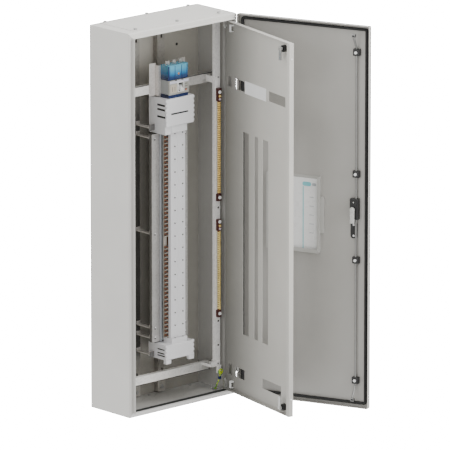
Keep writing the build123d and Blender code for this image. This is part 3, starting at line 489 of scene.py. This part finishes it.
# painted shade: dark at the hinge side, where the cabinet shades it, lighter towards the free edge, and
# darker towards the bottom
INNER_COAT = powder_coat("inner_door_powder_coat", (0.555, 0.54, 0.495), 0.5, shades=[
    (INNER_PIVOT, INNER_ACROSS, [(0, 0.33), (0.14, 0.58), (0.27, 0.80), (0.54, 0.95)]),
    (ORIGIN, UPWARDS, [(-0.80, 0.80), (-0.30, 0.97), (0.80, 1.0)])])
# painted shade: the rear panel is darker from the middle down, behind the chassis, and a little darker to
# the right
WALL_COAT = powder_coat("rear_panel_powder_coat", (0.56, 0.535, 0.475), 0.5, shades=[
    (ORIGIN, UPWARDS, [(-0.81, 0.64), (0.25, 0.64), (0.50, 0.76), (0.80, 0.86)]),
    (ORIGIN, RIGHTWARDS, [(-0.28, 1.0), (-0.06, 1.0), (0.06, 0.86), (0.28, 0.86)])])
GALVANISED = galvanised("galvanised_sheet", (0.66, 0.63, 0.60))
# painted shade: the rear rails are dark from near the bottom to above the middle, behind the chassis, and
# lighter at both ends
BACK_RAIL = galvanised("rear_rail_sheet", (0.50, 0.48, 0.44), shades=[
    (ORIGIN, UPWARDS, [(-0.72, 0.95), (-0.62, 0.22), (0.35, 0.22), (0.55, 0.75)])])
# painted shade: full colour on the chassis's front faces, dark on everything set back from them
CHASSIS_SHEET = galvanised("chassis_sheet", (0.48, 0.47, 0.455), shades=[
    ((0, CHASSIS_FRONT, 0), TO_WALL, [(0, 1.0), (0.001, 0.9), (0.004, 0.36), (0.02, 0.34)])])
# painted shade: the cross rails darken upwards and strongly towards the right end
CROSS_RAIL_SHEET = galvanised("cross_rail_sheet", (0.92, 0.90, 0.86), shades=[
    (ORIGIN, UPWARDS, [(-0.70, 1.0), (0.50, 0.86)]),
    (ORIGIN, RIGHTWARDS, [(-0.28, 1.0), (0.02, 0.96), (0.28, 0.45)])], metal=0.2)
# painted shade: slightly darker towards the top
ACCESSORY_SHEET = galvanised("accessory_rail_sheet", (0.86, 0.84, 0.81), shades=[
    (ORIGIN, UPWARDS, [(-0.80, 1.0), (0.80, 0.9)])], metal=0.2)
ZINC = bright_zinc("bright_zinc")
SCREW_ZINC = bright_zinc("screw_zinc", (0.45, 0.45, 0.44), 0.35)
ROD_ZINC = bright_zinc("rod_zinc", (0.30, 0.30, 0.29), 0.4)
WHITE = moulded("white_shroud_plastic", (0.69, 0.685, 0.695), 0.38)
OFF_WHITE = moulded("window_plate_plastic", (0.74, 0.74, 0.73), 0.4)
BLUE_GREY = moulded("busbar_base_plastic", (0.49, 0.515, 0.54), 0.5)
DIVIDER_GREY = moulded("divider_plastic", (0.33, 0.30, 0.26), 0.5)
CASE_GREY = moulded("switch_case_plastic", (0.27, 0.28, 0.275), 0.42)
COVER_GREY = moulded("switch_cover_plastic", (0.35, 0.345, 0.31), 0.4)
BEIGE = moulded("switch_beige_plastic", (0.50, 0.45, 0.37), 0.4)
LILAC = moulded("switch_strip_plastic", (0.60, 0.60, 0.68), 0.35)
BLACK = moulded("black_plastic", (0.014, 0.014, 0.014), 0.38, variation=0.2)
NAVY = moulded("navy_plastic", (0.008, 0.02, 0.11), 0.35, variation=0.1)
MAROON = moulded("maroon_insulator", (0.05, 0.012, 0.01), 0.45, variation=0.25)
ORANGE = moulded("indicator_plastic", (0.52, 0.24, 0.09), 0.35)
RED = moulded("trip_button_plastic", (0.40, 0.09, 0.05), 0.35)
POCKET = moulded("pocket_plastic", (0.40, 0.395, 0.37), 0.35)
CARD = moulded("coated_card", (0.74, 0.74, 0.73), 0.3, grain=700, variation=0.04)
TEAL_PRINT = moulded("turquoise_print", (0.18, 0.50, 0.54), 0.35)
GREY_PRINT = moulded("grey_print", (0.36, 0.38, 0.40), 0.4)
PINKISH = moulded("bolt_cap_plastic", (0.62, 0.50, 0.52), 0.4)
COPPER = turned_brass("bare_copper", (0.17, 0.068, 0.03), 0.42, 0.5)
BRASS = turned_brass("neutral_brass", (0.90, 0.62, 0.21), 0.34)
EARTH_BRASS = turned_brass("earth_brass", (0.80, 0.66, 0.27), 0.34)
FOAM = foam_rubber("foamed_seal")
SHEATH = earth_sheath("earth_cable_sheath")
COVER_LOW, COVER_HIGH = place_of("terminal_covers")
NAVY_DEPTH = 63
SWITCH_BLUE = switch_blue("switch_blue_plastic", COVER_LOW.x * MM,
                          (COVER_HIGH.z - NAVY_DEPTH) * MM, COVER_HIGH.z * MM)

NODE_FINISHES = {
    "side_wall_left": LEFT_COAT, "side_wall_right": RIGHT_COAT, "roof": ROOF_COAT,
    "floor": FLOOR_COAT, "rear_panel": WALL_COAT, "entry_plates": ROOF_COAT,
    "entry_plate_screws": SCREW_ZINC, "rear_rails": BACK_RAIL,
    "cross_rails": CROSS_RAIL_SHEET, "rail_brackets": ACCESSORY_SHEET,
    "depth_bars": GALVANISED, "chassis_pan": CHASSIS_SHEET, "frame_screws": SCREW_ZINC,
    "busbar_base": BLUE_GREY, "phase_bar_1": COPPER, "phase_bar_2": COPPER,
    "phase_bar_3": COPPER, "busbar_cover": WHITE, "cover_screws": SCREW_ZINC,
    "upper_shroud": WHITE, "lower_shroud": WHITE, "switch_plate": GALVANISED,
    "switch_body": CASE_GREY, "switch_front_cover": COVER_GREY, "terminal_covers": SWITCH_BLUE,
    "line_terminals": ZINC, "accessory_rail": ACCESSORY_SHEET, "neutral_bar": BRASS,
    "earth_bar": EARTH_BRASS, "terminal_bar_screws": BRASS, "terminal_bar_holders": MAROON,
    "terminal_bar_bolts": ZINC, "earth_fittings": ZINC, "earth_lead": SHEATH,
    "outer_hinge_frame_halves": ZINC, "inner_hinge_brackets": GALVANISED,
    "quarter_turn_strikes": GALVANISED, "outer_door_panel": OUTER_COAT,
    "outer_door_gasket": FOAM, "outer_hinge_door_halves": ZINC, "rod_guides": BLACK,
    "lock_case": BLACK, "handle_escutcheon": BLACK, "handle_counterplate": BLACK,
    "document_pocket": POCKET, "document_card": CARD, "swing_handle": BLACK,
    "lock_spindle": ZINC, "upper_lock_rod": ROD_ZINC, "lower_lock_rod": ROD_ZINC,
    "inner_door_panel": INNER_COAT, "switch_window_plate": OFF_WHITE, "inner_hinge_pins": ZINC,
    "quarter_turn_bodies": BLACK, "inner_door_fittings": OFF_WHITE,
    "upper_quarter_turn_cam": ZINC, "lower_quarter_turn_cam": ZINC, "toggle": OFF_WHITE,
    "trip_button": RED,
}


def finish_nodes():
    """Gives each CAD node its material."""
    for node, finish in NODE_FINISHES.items():
        part = frame["nodes"][node]
        for entry in part.material_slots:
            entry.link = "DATA"
        part.data.materials.clear()
        part.data.materials.append(finish)


finish_nodes()


# ------------------------------------------------------------------ outer door
def door_seal():
    """Foamed seal with a domed back, in one piece round the door."""
    low, high = place_of("outer_door_gasket", OUTER)
    width, dome, foot, steps = 11, 5, 2, 8
    section = [(0.3, low.y), (0, low.y + foot), (0, high.y - dome)]
    for k in range(1, steps):
        angle = math.pi * k / steps
        section.append((width / 2 - width / 2 * math.cos(angle), high.y - dome + dome * math.sin(angle)))
    section += [(width, high.y - dome), (width, low.y + foot), (width - 0.3, low.y)]

    def draw(bm):
        add_frame(bm, (low.x, high.x), (low.z, high.z), 12, section)
    piece("door_seal", "outer_door", FOAM, draw, OUTER, stands_for=["outer_door_gasket"])


def guide_rollers():
    """A white roller with a dished middle on the post of each rod guide."""
    post_width = 15
    guides = [box for box in solids_of("rod_guides", OUTER) if box[1].x - box[0].x < post_width]
    for index, (low, high) in enumerate(guides, 1):
        centre = ((low.x + high.x) / 2, low.y + 0.2, (low.z + high.z) / 2)

        def draw(bm, centre=centre):
            profile = [(6.0, -1), (6.2, 0.5), (5.9, 3.4), (5.1, 4.2), (4.3, 4.0), (3.9, 3.2), (0, 3.2)]
            add_lathe(bm, centre, (0, 1, 0), profile, 28)
        piece(f"rod_guide_roller_{index}", "outer_door", OFF_WHITE, draw, OUTER)


def lock_details():
    """Face plate, rivets, screw heads and rod tips on the inside of the lock, key cylinder outside."""
    low, high = place_of("lock_case", OUTER)
    x = (low.x + high.x) / 2
    rivet_heights = (low.z + 14, high.z - 14)

    def plate(bm):
        add_plate(bm, (low.x + 4, high.x - 4), (high.y, high.y + 1.6), (low.z + 8, high.z - 8), 4, 0)
        for z in rivet_heights:
            profile = [(3.4, -0.4), (3.4, 0.8), (2.4, 1.7), (0, 2.0)]
            add_lathe(bm, (x, high.y + 1.6, z), (0, 1, 0), profile, 18)
    piece("lock_face_plate", "outer_door", BLACK, plate, OUTER)

    def rivets(bm):
        for z in rivet_heights:
            profile = [(2.8, -0.6), (2.8, 0.5), (1.6, 1.1), (0, 1.2)]
            add_lathe(bm, (x, high.y + 3.4, z), (0, 1, 0), profile, 16)
    piece("lock_rivets", "outer_door", ZINC, rivets, OUTER)
    screw_width = 12
    plate_parts = solids_of("handle_counterplate", OUTER)
    screws = [box for box in plate_parts if box[1].z - box[0].z < screw_width]

    def screw_heads(bm):
        for a, b in screws:
            centre = ((a.x + b.x) / 2, b.y, (a.z + b.z) / 2)
            add_lathe(bm, centre, (0, 1, 0), [(4.6, -1.0), (4.6, 0.2), (3.6, 1.0), (0, 1.2)], 20)
    piece("counterplate_screw_heads", "outer_door", OFF_WHITE, screw_heads, OUTER)
    for name in ("upper", "lower"):
        tip = min(solids_of(f"{name}_lock_rod", OUTER), key=lambda box: box[1].z - box[0].z)

        def sleeve(bm, tip=tip):
            a, b = tip
            add_box(bm, (a.x - 0.3, b.x + 0.3), (a.y - 0.3, b.y + 0.3), (a.z + 2, b.z - 2), 2.5)
        piece(f"{name}_rod_tip_sleeve", f"{name}_rod", BLACK, sleeve, OUTER)
    eye, top = place_of("handle_escutcheon", OUTER)
    middle = (eye.x + top.x) / 2

    def cylinder(bm):
        centre = (middle, eye.y + 0.3, eye.z + 32)
        profile = [(9.5, -1), (9.5, 1.2), (8.6, 2.2), (7.0, 2.3), (6.6, 1.4), (0, 1.4)]
        add_lathe(bm, centre, (0, -1, 0), profile, 32)
        add_box(bm, (centre[0] - 0.8, centre[0] + 0.8), (centre[1] - 1.9, centre[1] - 1.2),
                (centre[2] - 3.5, centre[2] + 3.5), 0.2)
    piece("key_cylinder", "outer_door", ZINC, cylinder, OUTER)


def card_print():
    """Plain shapes printed on the card: a turquoise line and tab, and grey rules and a tab."""
    low, high = place_of("document_card", OUTER)
    y = (high.y, high.y + 0.12)

    def teal(bm):
        add_box(bm, (low.x + 68, low.x + 72.5), y, (low.z + 6, high.z - 36), 0.05, 1)
        add_plate(bm, (low.x + 34, low.x + 74), y, (high.z - 34, high.z - 16), 8, 0)

    def grey(bm):
        rules, first_drop, spacing = 5, 80, 38
        for row in range(rules):
            z = high.z - first_drop - row * spacing
            add_box(bm, (low.x + 22, low.x + 42), y, (z - 1.2, z + 1.2), 0.05, 1)
        add_plate(bm, (low.x + 12, low.x + 30), y, (high.z - 31, high.z - 19), 4, 0)
    piece("card_line", "outer_door", TEAL_PRINT, teal, OUTER)
    piece("card_rules", "outer_door", GREY_PRINT, grey, OUTER)


# ------------------------------------------------------------------ inner door
def quarter_turn_details():
    """A zinc washer round each quarter-turn lock, under its cam."""
    lock_height = 30
    boxes = solids_of("quarter_turn_bodies", INNER)
    fronts = [box for box in boxes
              if box[0].y == min(b[0].y for b in boxes if abs(b[0].z - box[0].z) < lock_height)]
    for name, (low, high) in zip(("lower", "upper"), (fronts[0], fronts[-1])):
        centre = ((low.x + high.x) / 2, high.y, (low.z + high.z) / 2)

        def washer(bm, centre=centre):
            profile = [(4.2, 0.1), (8.8, 0.1), (8.8, 1.1), (8.2, 1.6), (4.6, 1.6), (4.2, 1.4)]
            add_lathe(bm, centre, (0, 1, 0), profile, 28)
        piece(f"{name}_lock_washer", "inner_door", ZINC, washer, INNER)


# ------------------------------------------------------------------ chassis
def finger_row():
    """Insulating dividers between the contact fingers, and the dark spring jaws on the fingers."""
    pitch, count, gap, first_finger = 18, 48, (22, 23), 67
    low, high = place_of("phase_bar_2")
    cover_low, cover_high = place_of("busbar_cover")
    heights = [low.z + first_finger + pitch * k for k in range(count) if k not in gap]
    front = low.y
    for side, outer_x, cover_x in (("left", low.x, cover_low.x), ("right", high.x, cover_high.x)):
        near, middle, far = (outer_x + (cover_x - outer_x) * share for share in (0.08, 0.5, 0.96))

        def dividers(bm, near=near, far=far):
            x = sorted((near, far))
            for height in heights:
                add_box(bm, x, (front - 1.5, front + 13), (height - 10.6, height - 7.2), 0.5, 1)
            add_box(bm, x, (front + 8, front + 12), (heights[0] - 12, heights[-1] + 12), 0.5, 1)

        def jaws(bm, near=near, middle=middle, far=far):
            for height in heights:
                add_box(bm, sorted((near, middle)), (front - 1.2, front + 3),
                        (height - 6.6, height - 0.6), 0.6)
                add_box(bm, sorted((middle, far)), (front - 1.0, front + 3),
                        (height - 0.4, height + 5.6), 0.6)
        piece(f"finger_dividers_{side}", "cabinet", DIVIDER_GREY, dividers)
        piece(f"finger_jaws_{side}", "cabinet", BLACK, jaws)


def screw_painted_shadows():
    """Painted shadow and painted highlight at the busbar cover's screws and the chassis screws: a black disc
    a little below each screw's centre and a white disc a little above it.
    """
    head_height, tolerance = 2.2, 0.5
    head_front = place_of("chassis_pan")[0].y - head_height
    screws = solids_of("cover_screws")
    screws += [box for box in solids_of("frame_screws") if abs(box[0].y - head_front) < tolerance]

    # painted shadow: black discs a little below the screws
    def shadow_discs(bm):
        for low, high in screws:
            centre = ((low.x + high.x) / 2, low.y, (low.z + high.z) / 2 - 2.2)
            add_lathe(bm, centre, (0, -1, 0), [(3.6, -0.9), (3.6, 0.2), (2.9, 0.45), (0, 0.4)], 16)

    # painted highlight: white discs a little above the screws
    def highlight_discs(bm):
        for low, high in screws:
            centre = ((low.x + high.x) / 2, low.y - 0.2, (low.z + high.z) / 2 + 2.4)
            add_lathe(bm, centre, (0, -1, 0), [(3.4, -0.6), (3.4, 0.5), (2.8, 1.2), (0, 1.5)], 16)
    piece("screw_painted_shadows", "cabinet", BLACK, shadow_discs)
    piece("screw_painted_highlights", "cabinet", OFF_WHITE, highlight_discs)


def shroud_details():
    """Snap teeth on the shrouds' front edges, black plates behind their vents as painted shadow, a scored
    line.
    """
    for name, first, last, count in (("upper", 46, 8, 6), ("lower", 22, 26, 4)):
        low, high = place_of(f"{name}_shroud")
        rise = (high.z - last - low.z - first) / (count - 1)
        heights = [low.z + first + rise * k for k in range(count)]

        def teeth(bm, low=low, high=high, heights=heights):
            for index, z in enumerate(heights):
                for x in (low.x, high.x):
                    grow = 3.2 if index % 2 else 2.2
                    add_box(bm, (x - grow, x + grow), (low.y + 0.6, low.y + 10), (z - 5.5, z + 5.5), 1.6)

        # painted shadow: black plates behind the side vents of each shroud
        def vent_shadow(bm, low=low, high=high, heights=heights):
            for x in ((low.x + 2.7, low.x + 3.7), (high.x - 3.7, high.x - 2.7)):
                add_box(bm, x, (low.y + 6, low.y + 62), (heights[0] + 4, heights[-1] + 2), 0.2, 1)
        piece(f"{name}_shroud_teeth", "cabinet", WHITE, teeth)
        piece(f"{name}_shroud_vent_shadows", "cabinet", BLACK, vent_shadow)
    low, high = place_of("upper_shroud")

    def score(bm):
        add_box(bm, (low.x + 24, low.x + 118), (low.y - 0.4, low.y + 0.4),
                (high.z - 68, high.z - 61.5), 0.1, 1)

    # painted shadow: black plates behind the upper shroud's side vents
    def side_shadows(bm):
        half_vent = 4.2
        for drop in (28.3, 47.2, 77.9):
            z = (high.z - drop - half_vent, high.z - drop + half_vent)
            for x in ((low.x - 0.4, low.x + 2.6), (high.x - 2.6, high.x + 0.4)):
                add_box(bm, x, (low.y + 9, low.y + 59), z, 0.3, 1)
    piece("shroud_score_line", "cabinet", BLACK, score)
    piece("shroud_vent_side_shadows", "cabinet", BLACK, side_shadows)


def cabinet_trim():
    """A black strip at the floor's front as painted shadow, black discs in the wall holes as painted shade,
    black lines at the cross rails' edges as painted shadow, rings in the rail.
    """
    low, high = place_of("floor")

    # painted shadow: a dark strip at the floor's front, drawn in the foam material
    def foam_and_painted_shadow(bm):
        add_box(bm, (low.x + 23, high.x - 23), (low.y + 16.5, low.y + 48), (low.z + 13, low.z + 20), 0.8)
    piece("floor_painted_shadow_strip", "cabinet", FOAM, foam_and_painted_shadow)
    panel = place_of("rear_panel")[0].y
    pattern = next(m for m in RECORD["mounts"] if m["name"] == "wall_fixing")["dims"]
    half_x, half_z = pattern["spacing_x_mm"] / 2, pattern["spacing_y_mm"] / 2

    # painted shade: black discs filling the wall holes, standing for the dark seen through them
    def painted_shade_discs(bm):
        for x in (-half_x, half_x):
            for z in (-half_z, half_z):
                add_lathe(bm, (x, panel, z), (0, -1, 0), [(4.3, -1.2), (6.0, 0), (5.6, 0.9), (0, 1.3)], 20)
    piece("wall_hole_painted_shade_discs", "cabinet", BLACK, painted_shade_discs)

    # painted shadow: black lines along the top edge of the upper cross rail and the bottom edge of the lower
    # one
    def shadow_lines(bm):
        for a, b in solids_of("cross_rails"):
            z = b.z if a.z > 0 else a.z
            add_box(bm, (a.x + 1, b.x - 1), (a.y - 0.4, a.y + 3), (z - 1.2, z + 1.4), 0.4, 1)
    piece("cross_rail_edge_shadow_lines", "cabinet", BLACK, shadow_lines)
    rail_low = place_of("accessory_rail")[0]

    def grommets(bm):
        for height in (90, 194, 682):
            centre = (rail_low.x + 18, rail_low.y, rail_low.z + height)
            add_lathe(bm, centre, (0, -1, 0), [(2.9, -1.2), (4.4, 0), (4.0, 0.7), (0, 0.6)], 18)
    piece("accessory_rail_grommets", "cabinet", BLACK, grommets)


def main_switch():
    """Trim of the main switch: strip, beige field, toggle surround, slits, indicator and ribs."""
    low, high = place_of("switch_front_cover")
    front = low.y
    toggle_low, toggle_high = place_of("toggle")
    toggle_x = (toggle_low.x + toggle_high.x) / 2

    def strip(bm):
        add_plate(bm, (low.x + 2, high.x - 2), (front - 0.8, front + 0.5), (high.z - 13, high.z - 2), 2, 0.5)

    def field(bm):
        add_plate(bm, (low.x + 5, low.x + 40), (front - 1.0, front + 0.5), (low.z + 8, high.z - 17), 3, 0.6)

    def surround(bm):
        section = [(0, front + 0.5), (0, front - 2.2), (1.2, front - 3.2), (3.2, front - 3.2),
                   (4.0, front - 2.2), (4.0, front + 0.5)]
        add_frame(bm, (toggle_x - 18, toggle_x + 18), (low.z + 8, high.z - 9), 5, section)

    def slits(bm):
        for k in range(3):
            z = low.z + 16 + k * 11
            add_box(bm, (high.x - 24, high.x - 8), (front - 0.3, front + 0.4), (z, z + 2), 0.1, 1)
        for k in range(2):
            x = low.x + 14 + k * 14
            add_box(bm, (x, x + 2), (front - 1.3, front + 0.4), (low.z + 14, low.z + 34), 0.1, 1)
        for k in (-1, 1):
            x = (low.x + high.x) / 2 + 18 * k
            add_box(bm, (x - 5, x + 5), (front - 1.1, front + 0.4), (high.z - 3.2, high.z + 0.4), 0.1, 1)

    def indicator(bm):
        centre = ((COVER_LOW.x + COVER_HIGH.x) / 2 + 2, COVER_LOW.y + 0.3, COVER_HIGH.z - 38)
        add_lathe(bm, centre, (0, -1, 0), [(5.0, -0.5), (5.0, 0.8), (4.2, 1.5), (2.0, 1.7), (0, 1.6)], 24)

    def ribs(bm):
        x = (COVER_LOW.x + COVER_HIGH.x) / 2
        for offset in (-48, -18, 18, 48):
            add_box(bm, (x + offset - 1.1, x + offset + 1.1), (COVER_LOW.y - 0.9, COVER_LOW.y + 0.5),
                    (COVER_HIGH.z - 60, COVER_HIGH.z - 3), 0.4)
        add_box(bm, (COVER_LOW.x - 0.3, COVER_LOW.x + 2.2), (COVER_LOW.y - 0.9, COVER_LOW.y + 3),
                (COVER_HIGH.z - 62, COVER_HIGH.z - 2), 0.4)
    piece("switch_rating_strip", "cabinet", LILAC, strip)
    piece("switch_beige_field", "cabinet", BEIGE, field)
    piece("toggle_surround", "cabinet", OFF_WHITE, surround)
    piece("switch_slits", "cabinet", BLACK, slits)
    piece("contact_indicator", "cabinet", ORANGE, indicator)
    piece("terminal_cover_ribs", "cabinet", NAVY, ribs)


# ------------------------------------------------------------------ terminal bars
def terminal_bar(name, finish, pitch=9.5):
    """A row of clamping blocks on a core, each with a slotted screw."""
    low, high = place_of(f"{name}_bar")
    count = int((high.z - low.z) / pitch)
    start = (low.z + high.z - (count - 1) * pitch) / 2
    heights = [start + k * pitch for k in range(count)]
    half_block = pitch * 0.38
    x = (low.x + high.x) / 2

    def core(bm):
        add_box(bm, (low.x + 1.2, high.x - 1.2), (low.y + 1.4, high.y), (low.z, high.z), 0.3, 1)

    def blocks(bm):
        for z in heights:
            add_box(bm, (low.x, high.x), (low.y, high.y - 1), (z - half_block, z + half_block), 0.7)

    def screws(bm):
        for z in heights:
            add_lathe(bm, (x, low.y, z), (0, -1, 0), [(3.2, -0.5), (3.2, 1.3), (2.7, 1.9), (0, 2.0)], 16)

    def slots(bm):
        for z in heights:
            add_box(bm, (x - 2.7, x + 2.7), (low.y - 2.06, low.y - 1.6), (z - 0.45, z + 0.45), 0.05, 1)
    piece(f"{name}_bar_core", "cabinet", COPPER, core)
    piece(f"{name}_clamp_blocks", "cabinet", finish, blocks, stands_for=[f"{name}_bar"])
    piece(f"{name}_clamp_screw_slots", "cabinet", MAROON, slots)
    piece(f"{name}_clamp_screws", "cabinet", finish, screws)


def bar_ends():
    """Caps on the bolts at the bars' ends, and the lead's clips and cap at the earth stud."""
    bolts = solids_of("terminal_bar_bolts")
    for index, (low, high) in enumerate(bolts, 1):
        centre = ((low.x + high.x) / 2, high.y, (low.z + high.z) / 2)
        radius = (high.x - low.x) / 2

        def draw(bm, centre=centre, radius=radius):
            profile = [(radius * 1.25, -0.5), (radius * 1.25, 0.8), (radius, 1.0),
                       (radius * 0.98, 4.2), (radius * 0.7, 5.0), (0, 5.2)]
            add_lathe(bm, centre, (0, -1, 0), profile, 20)
        finish = OFF_WHITE if radius > 5 else (BRASS if radius > 4.2 else PINKISH)
        piece(f"bar_bolt_cap_{index}", "cabinet", finish, draw)
    stud = min(solids_of("earth_fittings"), key=lambda box: box[0].y)
    x, y, z = (stud[0].x + stud[1].x) / 2, stud[0].y, (stud[0].z + stud[1].z) / 2

    def blocks(bm):
        add_plate(bm, (x - 8, x + 6), (y + 6, y + 12), (z - 34, z - 21), 3, 1)
        add_box(bm, (x + 5, x + 15), (y + 8, y + 14), (z - 16, z - 10), 1.2)
    piece("earth_lead_clips", "cabinet", NAVY, blocks)

    def ring(bm):
        add_lathe(bm, (x, y + 2, z), (0, -1, 0), [(9, -4), (13, -4), (13, -1.5), (11.5, 0), (0, 0.6)], 24)
    piece("earth_stud_cap", "cabinet", SHEATH, ring)


# ------------------------------------------------------------------ studio
def stage_floor():
    """A white floor just under the cabinet, bright to the eye but giving the cabinet no light."""
    drop = 0.004
    bpy.ops.mesh.primitive_plane_add(size=60, location=(0, 0, CAD_BOX[0].z - drop))
    floor = bpy.context.object
    floor.name = "studio_floor"
    pale = Finish("pale_floor", (0.92, 0.92, 0.92), 0.7)
    pale.tint(pale.noise(2, 2), 0.004)
    pale.shader.inputs["Emission Color"].default_value = (1, 1, 1, 1)
    pale.shader.inputs["Emission Strength"].default_value = 25.0
    floor.data.materials.append(pale.made)
    floor.visible_diffuse = False
    floor.visible_glossy = False


def area_light(name, place, target, size, power):
    """A rectangular light at a place, turned to a target."""
    data = bpy.data.lights.new(name, "AREA")
    data.shape = "RECTANGLE"
    data.size, data.size_y = size
    data.energy = power
    light = bpy.data.objects.new(name, data)
    light.location = place
    light.rotation_mode = "QUATERNION"
    light.rotation_quaternion = (Vector(target) - Vector(place)).to_track_quat("-Z", "Y")
    bpy.context.scene.collection.objects.link(light)


def studio_light():
    """An even white surround with broad key, fill and top lights."""
    world = bpy.data.worlds.new("studio")
    bpy.context.scene.world = world
    world.use_nodes = True
    background = world.node_tree.nodes["Background"]
    background.inputs["Color"].default_value = (1, 1, 1, 1)
    background.inputs["Strength"].default_value = 1.33
    area_light("key", (1.6, -4.2, 1.6), (0.1, -0.2, 0), (2.2, 2.2), 120)
    area_light("fill", (-4.0, -1.5, 1.2), (0, -0.2, 0), (2.5, 2.5), 54)
    area_light("top", (0.2, -1.2, 4.0), (0, -0.2, 0), (2.5, 2.0), 88)


def add_camera():
    """A long lens far off, turned and raised so that the left side and the roof show a little."""
    data = bpy.data.cameras.new("camera")
    data.sensor_width = 36
    data.lens = 632.6
    data.clip_end = 100
    camera = bpy.data.objects.new("camera", data)
    target, distance = Vector((0.2337, -0.240, -0.0791)), 32.85
    turn, rise = math.radians(-42.355), math.radians(14.145)
    back = Vector((math.sin(turn) * math.cos(rise), -math.cos(turn) * math.cos(rise), math.sin(rise)))
    camera.location = target + back * distance
    camera.rotation_mode = "QUATERNION"
    camera.rotation_quaternion = (-back).to_track_quat("-Z", "Y")
    bpy.context.scene.collection.objects.link(camera)
    bpy.context.scene.camera = camera


door_seal()
guide_rollers()
lock_details()
card_print()
quarter_turn_details()
finger_row()
screw_painted_shadows()
shroud_details()
cabinet_trim()
main_switch()
terminal_bar("neutral", BRASS)
terminal_bar("earth", EARTH_BRASS)
bar_ends()
stage_floor()
studio_light()
add_camera()
